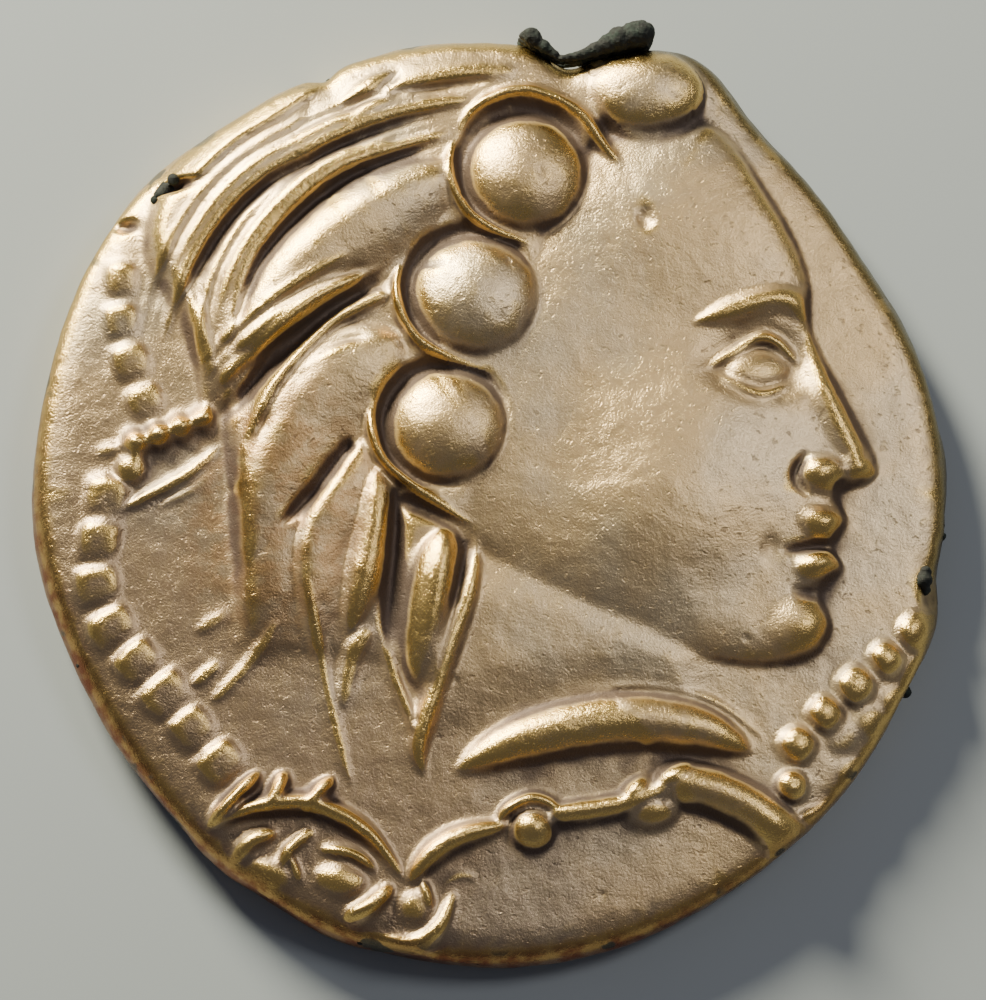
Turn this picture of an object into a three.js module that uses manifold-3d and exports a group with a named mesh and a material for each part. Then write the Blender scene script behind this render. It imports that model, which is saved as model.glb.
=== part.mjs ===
// A Gaulish gold stater: one struck lump of gold alloy, lying on its reverse with the head upwards.
// Obverse: a head facing right, its hair in long locks and round curls, between two strings of beads.
// Reverse: a slightly hollow field with a plain striding horse.
// Millimetres, +Z out of the obverse, +Y towards the crown, origin under the middle of the flan.

import * as THREE from "three";
import { mergeVertices } from "three/addons/utils/BufferGeometryUtils.js";
import Module from "manifold-3d";

// ---------------------------------------------------------------- driving dimensions

// The flan was hammered by hand, so its outline is a circle with swellings and flats.
const flan = {
  radius: 10.33,
  swellings: [
    { at: 66, reach: 0.85, spread: 8.5 }, // beside the top curl
    { at: 100, reach: 0.22, spread: 20 },
    { at: 145, reach: 0.42, spread: 22 },
    { at: 180, reach: 0.14, spread: 14 },
    { at: 264, reach: 0.14, spread: 26 },
    { at: 342, reach: 0.12, spread: 6 },
    { at: 32, reach: -0.24, spread: 13 },
    { at: 212, reach: -0.24, spread: 22 },
    { at: 80.5, reach: -0.42, spread: 3.4 }, // the notch at the crown
    { at: 112.5, reach: -0.17, spread: 1.6 },
    { at: 350, reach: -0.14, spread: 3 },
  ],
  seatHeight: 0, // the ring that the coin lies on
  underEdge: 0.38, // height of the lower arris of the edge
  upperEdge: 0.92, // height of the upper arris of the edge
  faceHeight: 1.22, // the obverse field beside the edge
  dome: 0.36, // how much higher the field is at the middle
  roundedShare: 0.08, // share of the radius taken by the rounding of the edge
  dishShare: 0.83, // share of the radius inside which the reverse is hollow
  dishDepth: 0.34,
  oval: 1.026, // longer by this along a line turned from -Y towards -X
  ovalTurn: 20,
};

// Heights above the obverse field.
const hairHeight = 0.32;
const neckHeight = 0.24;
const faceEdgeHeight = 0.36;
const softBlend = 0.08;

// Triangles for each face of the coin, and the finest edge worth splitting.
const obverseTriangles = 7350;
const reverseTriangles = 1650;
const finestEdge = 0.16;

// ---------------------------------------------------------------- shaping tools

const { abs, atan2, cos, hypot, max, min, sin, sqrt, PI } = Math;
const clamp = (value) => min(max(value, 0), 1);
const smooth = (value) => clamp(value) ** 2 * (3 - 2 * clamp(value));
const radians = THREE.MathUtils.degToRad;

// The larger of two heights, with a fillet where they cross.
function filletMax(a, b, fillet = softBlend) {
  const near = max(fillet - abs(a - b), 0) / fillet;
  return max(a, b) + (near * near * fillet) / 4;
}

// Distance from (x, y) to a chain of points, and how far along the chain the nearest place is.
function nearest(chain, x, y) {
  let best = Infinity;
  let along = 0;
  let side = 1;
  for (let i = 0; i + 1 < chain.length; i++) {
    const { x: ax, y: ay } = chain[i];
    const dx = chain[i + 1].x - ax;
    const dy = chain[i + 1].y - ay;
    const share = clamp(((x - ax) * dx + (y - ay) * dy) / (dx * dx + dy * dy));
    const distance = hypot(x - ax - share * dx, y - ay - share * dy);
    if (distance < best) {
      best = distance;
      along = (i + share) / (chain.length - 1);
      side = dx * (y - ay) - dy * (x - ax) < 0 ? -1 : 1;
    }
  }
  return { distance: best, along, side };
}

// A ridge (or, with a negative height, a cut) along a smooth curve through a few points.
// It thins to a point at both ends unless it is blunt. With a steep value under 1, its right flank,
// looking from the first point to the last, is that much narrower than the left. Fullness as for a boss.
function stroke(points, halfWidth, height, { blunt = false, steep = 1, fullness = 2 } = {}) {
  const curve = new THREE.SplineCurve(points.map(([x, y]) => new THREE.Vector2(x, y)));
  const chain = curve.getPoints(points.length * 5);
  const box = new THREE.Box2().setFromPoints(chain).expandByScalar(halfWidth);
  return (x, y) => {
    if (x < box.min.x || x > box.max.x || y < box.min.y || y > box.max.y) return 0;
    const { distance, along, side } = nearest(chain, x, y);
    const thin = 1 - abs(2 * along - 1) ** (blunt ? 12 : 3);
    const reach = halfWidth * max(thin, 0.15) * (side < 0 ? steep : 1);
    return height * thin * max(1 - (distance / reach) ** 2, 0) ** fullness;
  };
}

// A raised oval: fullness 0.5 is a half ball, and 2 is a soft swelling.
function boss([cx, cy], [rx, ry], height, { turn = 0, fullness = 2 } = {}) {
  const c = cos(radians(turn));
  const s = sin(radians(turn));
  return (x, y) => {
    const u = ((x - cx) * c + (y - cy) * s) / rx;
    const v = ((y - cy) * c - (x - cx) * s) / ry;
    return height * max(1 - u * u - v * v, 0) ** fullness;
  };
}

// Bosses spaced evenly along a curve, for a string of beads. Each is turned to lie across the string.
function beads(points, count, [across, along], height, fullness = 0.8) {
  const curve = new THREE.SplineCurve(points.map(([x, y]) => new THREE.Vector2(x, y)));
  return Array.from({ length: count }, (_, i) => {
    const place = curve.getPointAt(i / (count - 1));
    const run = curve.getTangentAt(i / (count - 1));
    const turn = THREE.MathUtils.radToDeg(atan2(run.y, run.x)) + 90;
    return boss([place.x, place.y], [across, along], height, { turn, fullness });
  });
}

// How deep (x, y) lies inside a closed outline; 0 outside it.
function outlineDepth(points) {
  const corners = points.map(([x, y]) => new THREE.Vector3(x, y, 0));
  const curve = new THREE.CatmullRomCurve3(corners, true, "catmullrom", 0.5);
  const chain = curve.getPoints(points.length * 5);
  return (x, y) => {
    let inside = false;
    for (let i = 0; i + 1 < chain.length; i++) {
      const a = chain[i];
      const b = chain[i + 1];
      const crosses = a.y > y !== b.y > y;
      if (crosses && x < a.x + ((y - a.y) * (b.x - a.x)) / (b.y - a.y)) inside = !inside;
    }
    return inside ? nearest(chain, x, y).distance : 0;
  };
}

const sum = (shapes, x, y) => shapes.reduce((total, shape) => total + shape(x, y), 0);
const highest = (shapes, x, y) => shapes.reduce((top, shape) => max(top, shape(x, y)), 0);

// ---------------------------------------------------------------- the face

// The profile is set out in thirds of the face: brow at 2, base of the nose at 1, chin at 0.
// The first number is forward of the root of the nose, the second up from the chin.
const third = 3.9;
const noseRoot = { x: 7.15, chinY: -3.5 };
const onFace = ([forward, up]) => [noseRoot.x + forward * third, noseRoot.chinY + up * third];
const faceSize = ([wide, tall]) => [wide * third, tall * third];

const faceDepth = outlineDepth(
  [
    [-0.62, 3.2],
    [-0.24, 2.76],
    [-0.02, 2.3],
    [0.0, 1.95],
    [0.16, 1.6],
    [0.36, 1.2],
    [0.35, 1.07],
    [0.15, 0.98],
    [0.19, 0.82],
    [0.11, 0.68],
    [0.16, 0.55],
    [0.04, 0.4],
    [0.09, 0.2],
    [-0.06, 0.02],
    [-0.5, 0.0],
    [-1.05, 0.16],
    [-1.65, 0.45],
    [-2.3, 0.9],
    [-2.5, 1.6],
    [-1.9, 2.3],
    [-1.3, 3.05],
  ].map(onFace),
);

const faceForms = [
  boss(onFace([-0.72, 1.15]), faceSize([0.85, 0.8]), 0.34), // cheek
  boss(onFace([-1.0, 0.72]), faceSize([0.75, 0.55]), 0.16), // jaw
  boss(onFace([-0.65, 2.55]), faceSize([0.8, 0.62]), 0.18), // forehead
  boss(onFace([-0.08, 0.2]), faceSize([0.26, 0.22]), 0.2), // chin
  boss(onFace([-0.3, 1.75]), faceSize([0.46, 0.28]), -0.34), // hollow round the eye
  boss(onFace([-0.33, 1.72]), faceSize([0.2, 0.13]), 0.36, { fullness: 0.8 }), // eyeball
  stroke([[0.04, 1.98], [-0.2, 2.12], [-0.72, 1.97]].map(onFace), 0.42, 0.22), // brow
  stroke([[-0.08, 1.74], [-0.3, 1.89], [-0.64, 1.7]].map(onFace), 0.2, 0.26), // upper lid
  stroke([[-0.13, 1.63], [-0.33, 1.56], [-0.58, 1.67]].map(onFace), 0.17, 0.17), // lower lid
  stroke([[-0.02, 1.95], [0.12, 1.5], [0.27, 1.15]].map(onFace), 0.52, 0.2), // bridge
  boss(onFace([0.25, 1.12]), faceSize([0.13, 0.12]), 0.16), // tip of the nose
  boss(onFace([0.05, 1.09]), faceSize([0.14, 0.12]), 0.28, { fullness: 1 }), // wing of the nose
  stroke([[-0.05, 1.22], [-0.12, 1.07], [-0.03, 0.95]].map(onFace), 0.18, -0.16), // behind the wing
  boss(onFace([0.16, 1.02]), faceSize([0.07, 0.04]), -0.18), // nostril
  boss(onFace([0.06, 0.79]), faceSize([0.19, 0.11]), 0.24, { turn: -20, fullness: 1.4 }), // upper lip
  boss(onFace([0.03, 0.56]), faceSize([0.18, 0.1]), 0.26, { turn: 12, fullness: 1.4 }), // lower lip
  stroke([[0.2, 0.69], [0.0, 0.67], [-0.22, 0.63]].map(onFace), 0.16, -0.22), // mouth
  boss(onFace([-0.27, 0.64]), faceSize([0.09, 0.12]), -0.08), // corner of the mouth
  stroke([[0.08, 0.41], [-0.02, 0.39], [-0.16, 0.42]].map(onFace), 0.24, -0.14), // under the lip
];

function faceRelief(x, y) {
  const depth = faceDepth(x, y);
  if (depth === 0) return 0;
  const shoulder = 0.75 + 1.5 * smooth((noseRoot.x - 1 - x) / third); // softer towards the hair
  const rise = sqrt(1 - (1 - min(depth / shoulder, 1)) ** 2);
  return faceEdgeHeight * rise + sum(faceForms, x, y) * smooth(depth / 0.3);
}

// ---------------------------------------------------------------- the hair

// The round curls along the hairline, each in a socket with a thin lid that trails off towards the face.
const curls = [
  { at: [3.38, 9.7], size: [1.32, 0.98], rise: 0.42, floor: 0.3, socket: [3.34, 9.68, 1.25], lid: null },
  { at: [0.55, 7.65], size: [1.4, 1.38], rise: 0.72, floor: 0.16, socket: [0.46, 7.86, 1.64], lid: [1.15, 5.9] },
  { at: [-0.58, 4.78], size: [1.5, 1.44], rise: 0.72, floor: 0.14, socket: [-0.78, 4.98, 1.62], lid: [0.4, 2.82] },
  { at: [-1.2, 1.8], size: [1.4, 1.34], rise: 0.72, floor: 0.12, socket: [-1.38, 1.92, 1.58], lid: [-0.3, -0.65] },
];
const lidAngles = [150, 180, 212, 244]; // the lid runs down the back of the socket and under it
const lids = curls
  .filter((curl) => curl.lid)
  .map(({ socket: [cx, cy, reach], lid }) => {
    const arc = lidAngles.map((angle) => [
      cx + (reach + 0.04) * cos(radians(angle)),
      cy + (reach + 0.04) * sin(radians(angle)),
    ]);
    return stroke([...arc, lid], 0.22, 0.74, { fullness: 1.4 });
  });
const topLid = [[-1.15, 8.2], [-0.7, 9.15], [0.45, 9.62], [1.65, 9.2], [2.35, 8.35], [3.0, 7.6]];
lids.push(stroke(topLid, 0.27, 0.63, { fullness: 1.4 }));

const hairDepth = outlineDepth([
  [3.3, 10.9],
  [2.3, 8.2],
  [1.3, 6.0],
  [0.4, 3.2],
  [0.1, 1.2],
  [-0.6, -0.6],
  [-1.5, -4.0],
  [-2.8, -3.8],
  [-4.6, -3.6],
  [-6.0, -3.4],
  [-6.25, -0.5],
  [-6.6, 2.0],
  [-7.5, 4.2],
  [-8.3, 6.6],
  [-6.5, 9.6],
  [-2.0, 11.2],
]);

// Broad rounded locks; a steep one has its narrow flank on the right of its run.
const locks = [
  stroke([[-8.1, 4.9], [-7.1, 7.2], [-4.4, 9.3]], 0.75, 0.16),
  stroke([[-6.9, 3.2], [-6.2, 5.9], [-4.8, 7.4], [-2.3, 8.65]], 0.55, 0.1),
  stroke([[-0.9, 7.85], [-3.0, 6.8], [-4.75, 5.4], [-6.2, 3.5]], 1.4, 0.54, {
    steep: 0.66,
    fullness: 1.3,
  }),
  stroke([[-2.2, 3.8], [-3.3, 3.35], [-4.5, 2.5], [-5.3, 0.8], [-5.8, -1.6]], 1.5, 0.38, {
    steep: 0.7,
    fullness: 1.3,
  }),
  stroke([[-4.4, 1.8], [-5.1, 0.0], [-5.5, -3.0]], 1.1, 0.14),
  stroke([[-3.1, 1.5], [-3.9, 0.2], [-4.4, -1.0], [-4.2, -3.4]], 0.95, 0.26, {
    steep: 0.4,
    fullness: 1.3,
  }),
  stroke([[-2.85, 0.9], [-2.95, -0.7], [-3.45, -2.9]], 0.5, 0.3, { fullness: 1.3 }),
  stroke([[-1.3, -0.5], [-1.52, -2.2], [-1.87, -4.2]], 0.68, 0.5, { fullness: 0.8 }),
  stroke([[-3.0, 9.5], [-1.6, 10.0], [0.4, 10.1]], 0.5, 0.12),
  boss([-2.95, 9.6], [0.8, 0.42], 0.22, { turn: 25, fullness: 1 }),
];

// Crests between the locks; the flank away from the rim is the steep one.
const crests = [
  [[[-7.4, 7.2], [-6.3, 8.35], [-5.1, 9.15], [-4.2, 9.7]], 0.45, 0.2, 0.45],
  [[[-7.7, 3.8], [-7.0, 5.75], [-5.9, 7.25], [-4.35, 8.25], [-2.55, 9.0], [-0.4, 9.45]], 0.6, 0.3, 0.4],
  [[[-6.35, 2.9], [-6.05, 4.9], [-5.2, 6.4], [-3.7, 7.72], [-1.1, 8.65]], 0.52, 0.3, 0.42],
  [[[-6.5, 2.7], [-5.3, 3.8], [-3.1, 5.25]], 0.46, 0.28, 0.42],
  [[[-5.85, 1.4], [-5.0, 3.0], [-4.0, 4.1], [-2.3, 4.95]], 0.42, 0.26, 0.45],
  [[[-5.4, 1.8], [-4.6, 3.05], [-3.3, 3.72]], 0.26, 0.14, 0.6],
  [[[-7.15, 5.0], [-6.8, 3.4], [-6.65, 1.9]], 0.35, 0.16, 0.7],
].map(([points, halfWidth, height, steep]) => stroke(points, halfWidth, height, { steep, fullness: 1.3 }));

// Finer crests of the back hair and of the loose ends over the neck.
const wisps = [
  [[[-4.45, -1.5], [-4.1, -3.2], [-3.8, -4.6], [-3.35, -6.3]], 0.16, 0.12],
  [[[-2.95, -2.7], [-3.35, -3.3], [-3.62, -4.6]], 0.3, 0.16],
  [[[-2.8, -2.5], [-2.45, -3.7], [-2.05, -4.75], [-1.9, -5.5]], 0.16, 0.13],
  [[[-0.55, -0.7], [-0.75, -1.9], [-1.4, -3.75], [-1.85, -5.2], [-1.75, -6.0]], 0.3, 0.24],
  [[[-5.0, -2.5], [-5.7, -3.5], [-6.6, -4.4]], 0.2, 0.1],
  [[[-7.0, -4.0], [-6.3, -3.4]], 0.18, 0.1],
  [[[-6.9, -2.75], [-6.1, -2.3]], 0.2, 0.07],
].map(([points, halfWidth, height]) => stroke(points, halfWidth, height, { fullness: 1.4 }));

// Deep cuts below the crests.
const cuts = [
  stroke([[-7.85, 3.7], [-6.8, 5.7], [-5.75, 7.1], [-4.15, 8.15], [-2.6, 8.86], [-0.9, 9.2]], 0.22, 0.1),
  stroke([[-6.05, 3.9], [-5.55, 5.5], [-4.5, 6.8], [-3.2, 7.75], [-1.2, 8.42]], 0.22, 0.12),
  stroke([[-6.9, 1.3], [-6.1, 2.35], [-5.0, 3.4], [-4.0, 4.4], [-2.4, 5.3]], 0.3, 0.22),
  stroke([[-5.3, 4.4], [-4.2, 5.0], [-3.1, 5.5]], 0.28, 0.08),
  stroke([[-5.7, 1.1], [-5.0, 2.6], [-4.1, 3.45], [-3.0, 3.9]], 0.24, 0.14),
  stroke([[-3.4, 1.5], [-4.15, 0.5], [-5.05, -0.5]], 0.26, 0.16),
  stroke([[-2.4, 0.5], [-2.45, -1.2], [-2.6, -3.3]], 0.34, 0.28),
  stroke([[-2.6, 0.2], [-1.5, -0.15], [-0.4, -0.65]], 0.32, 0.24),
  stroke([[-0.9, -0.9], [-1.02, -2.4], [-1.5, -3.8]], 0.22, 0.2),
  stroke([[-3.75, 9.15], [-2.9, 9.55], [-2.3, 10.1]], 0.22, 0.2),
  stroke([[-2.2, 9.55], [-1.1, 9.75], [-0.2, 9.9]], 0.16, 0.14),
];

function hairRelief(x, y) {
  const depth = hairDepth(x, y);
  const cap = hairHeight * smooth(depth / 0.6) * smooth((y + 4.4) / 3);
  const onCap = highest(locks, x, y) - highest(cuts, x, y) * smooth(depth / 0.2);
  return max(cap + onCap, 0);
}

// Sinks a socket into whatever is there, and sets the curl in it.
function withCurls(height, x, y) {
  for (const { at, size, rise, floor, socket } of curls) {
    const fromSocket = hypot(x - socket[0], y - socket[1]) / socket[2];
    const sunk = smooth((1 - fromSocket) / 0.14);
    height = height * (1 - sunk) + floor * sunk;
    const reach = hypot((x - at[0]) / size[0], (y - at[1]) / size[1]);
    if (reach < 1) height = filletMax(height, floor + rise * (1 - reach * reach) ** 0.62);
  }
  return height;
}

// ---------------------------------------------------------------- neck, collar and scroll

const neckDepth = outlineDepth([
  [-1.6, -0.5],
  [3.0, -1.5],
  [5.2, -3.0],
  [5.0, -4.4],
  [6.3, -5.6],
  [2.5, -4.6],
  [-0.8, -5.4],
  [-2.2, -6.6],
  [-2.6, -4.0],
]);

const collar = [
  stroke([[-1.1, -5.9], [0.5, -5.2], [2.6, -4.8], [4.4, -4.95], [5.7, -5.5]], 0.66, 0.56, {
    fullness: 0.8,
  }),
  stroke([[0.6, -4.3], [3.0, -4.0], [4.8, -4.35], [6.2, -5.4]], 0.16, 0.14),
  stroke([[-2.1, -8.4], [-1.6, -7.75], [-0.9, -7.33], [0.3, -7.05]], 0.34, 0.42, { fullness: 1.2 }),
  stroke([[-0.15, -7.1], [0.15, -6.74], [0.7, -6.53], [1.22, -6.74], [1.35, -7.1]], 0.24, 0.42),
  boss([0.7, -7.2], [0.52, 0.5], 0.5, { fullness: 0.6 }),
  stroke([[1.0, -6.9], [2.0, -6.78], [2.9, -6.6], [4.0, -6.2]], 0.32, 0.42, {
    blunt: true,
    fullness: 1.1,
  }),
  boss([3.4, -6.78], [0.9, 0.58], 0.38, { turn: 12 }),
  boss([3.0, -6.36], [0.55, 0.32], 0.46, { turn: 40, fullness: 1.2 }),
  boss([3.9, -6.06], [0.7, 0.36], 0.52, { turn: 25, fullness: 1.2 }),
  stroke([[3.7, -6.2], [4.6, -6.3], [5.6, -6.72], [6.3, -7.25], [6.9, -7.8]], 0.55, 0.54, {
    blunt: true,
    fullness: 0.8,
  }),
  stroke([[4.0, -5.8], [5.1, -5.95], [6.1, -6.45], [6.8, -7.2]], 0.13, 0.12),
  stroke([[-1.4, -8.5], [-0.95, -8.2], [-0.45, -8.25]], 0.14, 0.1),
  stroke([[-0.06, -7.6], [0.08, -8.75]], 0.09, 0.05),
];

const scroll = [
  stroke([[-6.7, -7.2], [-5.75, -6.72], [-4.9, -6.58], [-4.1, -6.65], [-3.0, -7.25], [-2.1, -8.35]], 0.3, 0.42, {
    fullness: 1.2,
  }),
  stroke([[-6.6, -7.1], [-6.0, -6.45], [-5.4, -5.85]], 0.24, 0.5),
  stroke([[-5.35, -6.85], [-5.05, -6.35], [-4.85, -5.85]], 0.26, 0.52),
  stroke([[-4.5, -6.85], [-4.15, -6.4], [-3.75, -6.0]], 0.26, 0.52),
  stroke([[-6.0, -7.85], [-5.6, -7.4], [-5.0, -7.2]], 0.3, 0.28),
  stroke([[-4.9, -8.0], [-4.72, -7.6], [-4.15, -7.15]], 0.22, 0.34, { steep: 0.5 }),
  stroke([[-4.75, -7.7], [-4.5, -8.3]], 0.16, 0.2),
  stroke([[-4.1, -7.62], [-3.4, -7.72], [-2.8, -8.05]], 0.22, 0.34, { steep: 0.5 }),
  boss([-3.6, -8.28], [0.66, 0.42], 0.24, { turn: -12, fullness: 0.8 }),
  boss([-5.15, -8.1], [0.85, 0.46], 0.2, { turn: -20 }),
  stroke([[-3.55, -9.12], [-3.0, -8.88], [-2.4, -8.4]], 0.26, 0.4, { fullness: 1.4 }),
  boss([-1.9, -8.86], [0.5, 0.46], 0.2, { fullness: 0.9 }),
  stroke([[-1.78, -8.25], [-1.58, -8.95]], 0.16, 0.26),
  stroke([[-3.1, -9.42], [-2.5, -9.6], [-1.95, -9.68], [-1.5, -9.42], [-1.22, -8.98], [-1.02, -8.45]], 0.25, 0.3, {
    fullness: 1.4,
  }),
];

// ---------------------------------------------------------------- strings of beads

const leftString = [
  ...beads([[-8.68, 5.25], [-8.62, 4.0], [-8.1, 2.5]], 4, [0.46, 0.44], 0.2),
  ...beads([[-8.95, 0.22], [-9.14, -1.5], [-8.75, -2.7], [-7.7, -3.97], [-6.3, -5.6]], 8, [0.54, 0.47], 0.22),
];

// The ends of the hair are tied back across the string.
const tie = [
  stroke([[-6.5, 2.1], [-7.3, 1.85], [-8.2, 1.5], [-9.3, 1.3]], 0.3, 0.14),
  stroke([[-6.3, 1.5], [-7.1, 0.82], [-8.0, 0.34], [-8.6, 0.0]], 0.2, 0.2, { steep: 0.7 }),
  stroke([[-6.4, 0.9], [-7.0, 0.45], [-7.7, 0.1]], 0.14, 0.07),
  boss([-8.38, 0.95], [0.38, 0.4], 0.26, { fullness: 0.7 }),
  ...beads([[-6.8, 2.05], [-7.3, 1.85], [-8.3, 1.5]], 4, [0.27, 0.24], 0.26),
];

const rightString = [
  ...beads([[9.46, -2.72], [8.69, -3.45], [8.03, -4.0], [7.4, -4.57], [6.72, -5.3]], 5, [0.41, 0.41], 0.34),
  ...beads([[9.4, -3.75], [8.6, -4.6], [7.8, -5.1]], 4, [0.3, 0.34], 0.1),
  boss([6.56, -6.23], [0.4, 0.38], 0.34, { fullness: 0.8 }),
  boss([8.0, -5.95], [0.5, 0.42], 0.16),
  stroke([[6.7, -6.95], [7.3, -6.8], [8.2, -6.3]], 0.26, 0.2),
];

// Nicks and chips of the edge, and pits in the face of the coin.
const chips = [
  boss([10.0, -1.95], [0.5, 0.62], 0.5),
  boss([10.25, -0.8], [0.28, 0.4], 0.3),
  boss([-7.45, 7.4], [0.62, 0.2], 0.5, { turn: 12 }),
  boss([-8.6, 6.55], [0.4, 0.22], 0.35),
  boss([1.6, 10.6], [0.75, 0.45], 0.35),
  boss([3.28, 6.62], [0.3, 0.32], 0.16),
  boss([0.85, 7.55], [0.1, 0.12], 0.1),
  boss([-1.62, 5.5], [0.36, 0.12], 0.14),
  boss([-3.5, 1.35], [0.22, 0.2], 0.14),
];

// ---------------------------------------------------------------- the two faces of the coin

function flanRadiusAt(angle) {
  const degrees = THREE.MathUtils.radToDeg(angle);
  return flan.swellings.reduce((radius, { at, reach, spread }) => {
    const away = THREE.MathUtils.euclideanModulo(degrees - at + 180, 360) - 180;
    return radius + reach * Math.exp(-((away / spread) ** 2));
  }, flan.radius);
}

const shareOfRadius = (x, y) => hypot(x, y) / flanRadiusAt(atan2(y, x));

// Quarter-round drop at the edge: 0 inside it, 1 at the arris.
function edgeDrop(share) {
  const into = clamp((share - 1 + flan.roundedShare) / flan.roundedShare);
  return 1 - sqrt(1 - into * into);
}

// The relief of the obverse die above its field.
function dieRelief(x, y) {
  const neck = neckHeight * smooth(neckDepth(x, y) / 1.6);
  let relief = filletMax(neck, faceRelief(x, y));
  relief = filletMax(relief, hairRelief(x, y));
  relief += highest(crests, x, y) + highest(wisps, x, y);
  relief = withCurls(relief, x, y);
  relief = filletMax(relief, highest(lids, x, y));
  relief = filletMax(relief, highest(collar, x, y), 0.05);
  relief = filletMax(relief, highest(scroll, x, y), 0.05);
  relief += highest(leftString, x, y) + highest(tie, x, y) + highest(rightString, x, y);
  return relief - highest(chips, x, y);
}

// The die was struck a little off the middle of the flan.
const strikeShift = [0.08, -0.4];

function obverseHeight(x, y) {
  const share = shareOfRadius(x, y);
  const relief = dieRelief(x - strikeShift[0], y - strikeShift[1]);
  const field = flan.faceHeight + flan.dome * (1 - share * share);
  const drop = edgeDrop(share) * (flan.faceHeight - flan.upperEdge);
  return field - drop + relief * (1 - 0.5 * edgeDrop(share));
}

// A horse striding to the left, seen from below, under a pellet and over a ring of pellets.
const horse = [
  stroke([[-3.4, 1.3], [-1.2, 0.3], [1.6, 0.3], [3.6, 1.1]], 1.2, 0.27, { blunt: true, fullness: 1 }),
  stroke([[-3.0, 1.2], [-4.2, 3.0], [-4.4, 4.7]], 0.8, 0.24, { blunt: true }),
  stroke([[-4.3, 4.9], [-5.6, 4.7], [-6.5, 3.8]], 0.5, 0.24, { blunt: true }),
  stroke([[-3.4, 0.6], [-5.2, -1.2], [-4.4, -3.4]], 0.42, 0.22, { blunt: true }),
  stroke([[-2.6, 0.3], [-2.7, -2.2], [-1.6, -4.2]], 0.42, 0.22, { blunt: true }),
  stroke([[3.2, 0.6], [2.4, -1.8], [1.4, -4.0]], 0.42, 0.22, { blunt: true }),
  stroke([[3.9, 0.9], [5.3, -1.2], [4.6, -3.6]], 0.42, 0.22, { blunt: true }),
  stroke([[4.3, 1.6], [5.9, 2.9], [6.8, 0.9]], 0.34, 0.22),
  ...beads([[-2.6, 2.2], [-3.3, 3.4], [-3.5, 4.8]], 5, [0.34, 0.3], 0.22),
  ...[[-5.1, -1.2], [-2.75, -2.0], [2.4, -1.7], [5.2, -1.2]].map((knee) => boss(knee, [0.6, 0.55], 0.26)),
  boss([1.2, 4.2], [0.95, 0.95], 0.24, { fullness: 0.7 }),
];
const pelletRing = Array.from({ length: 30 }, (_, i) => {
  const angle = (i * 2 * PI) / 30;
  return boss([7.2 * cos(angle), 7.2 * sin(angle)], [0.36, 0.36], 0.12);
});

function reverseHeight(x, y) {
  const share = shareOfRadius(x, y);
  const dish = flan.dishDepth * smooth((flan.dishShare - share) / 0.3);
  const relief = max(highest(horse, x, y), highest(pelletRing, x, y));
  const lift = edgeDrop(share) * flan.underEdge;
  return flan.seatHeight + lift + max(dish - relief, dish * 0.15);
}

// ---------------------------------------------------------------- meshing

// Hexagonal rings of nearly equal triangles over the flan: ring r holds 6r points.
function ringedSheet(heightAt, rings) {
  const points = [[0, 0, heightAt(0, 0)]];
  const triangles = [];
  const index = (ring, step) => (ring ? 1 + 3 * ring * (ring - 1) + (step % (6 * ring)) : 0);
  for (let ring = 1; ring <= rings; ring++) {
    for (let step = 0; step < 6 * ring; step++) {
      const angle = (PI * step) / (3 * ring);
      const reach = (flanRadiusAt(angle) * ring) / rings;
      const x = reach * cos(angle);
      const y = reach * sin(angle);
      points.push([x, y, heightAt(x, y)]);
      const inner = step - Math.floor(step / ring);
      triangles.push([index(ring, step), index(ring, step + 1), index(ring - 1, inner)]);
      if (step % ring) {
        triangles.push([index(ring - 1, inner), index(ring - 1, inner - 1), index(ring, step)]);
      }
    }
  }
  const rim = new Set(Array.from({ length: 6 * rings }, (_, step) => index(rings, step)));
  return { points, triangles, rim };
}

// How badly a triangle stands for the surface: its mean gap, with more weight on a larger triangle.
function misfit([a, b, c], heightAt) {
  const area = abs((b[0] - a[0]) * (c[1] - a[1]) - (c[0] - a[0]) * (b[1] - a[1])) / 2;
  const steps = area > 0.1 ? 7 : 4;
  let total = 0;
  let samples = 0;
  for (let i = 0; i <= steps; i++) {
    for (let j = 0; i + j <= steps; j++) {
      const weights = [i / steps, j / steps, 1 - (i + j) / steps];
      const [x, y, z] = [0, 1, 2].map((k) => weights[0] * a[k] + weights[1] * b[k] + weights[2] * c[k]);
      total += abs(heightAt(x, y) - z);
      samples += 1;
    }
  }
  return (total / samples) * area ** 0.6;
}

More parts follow.
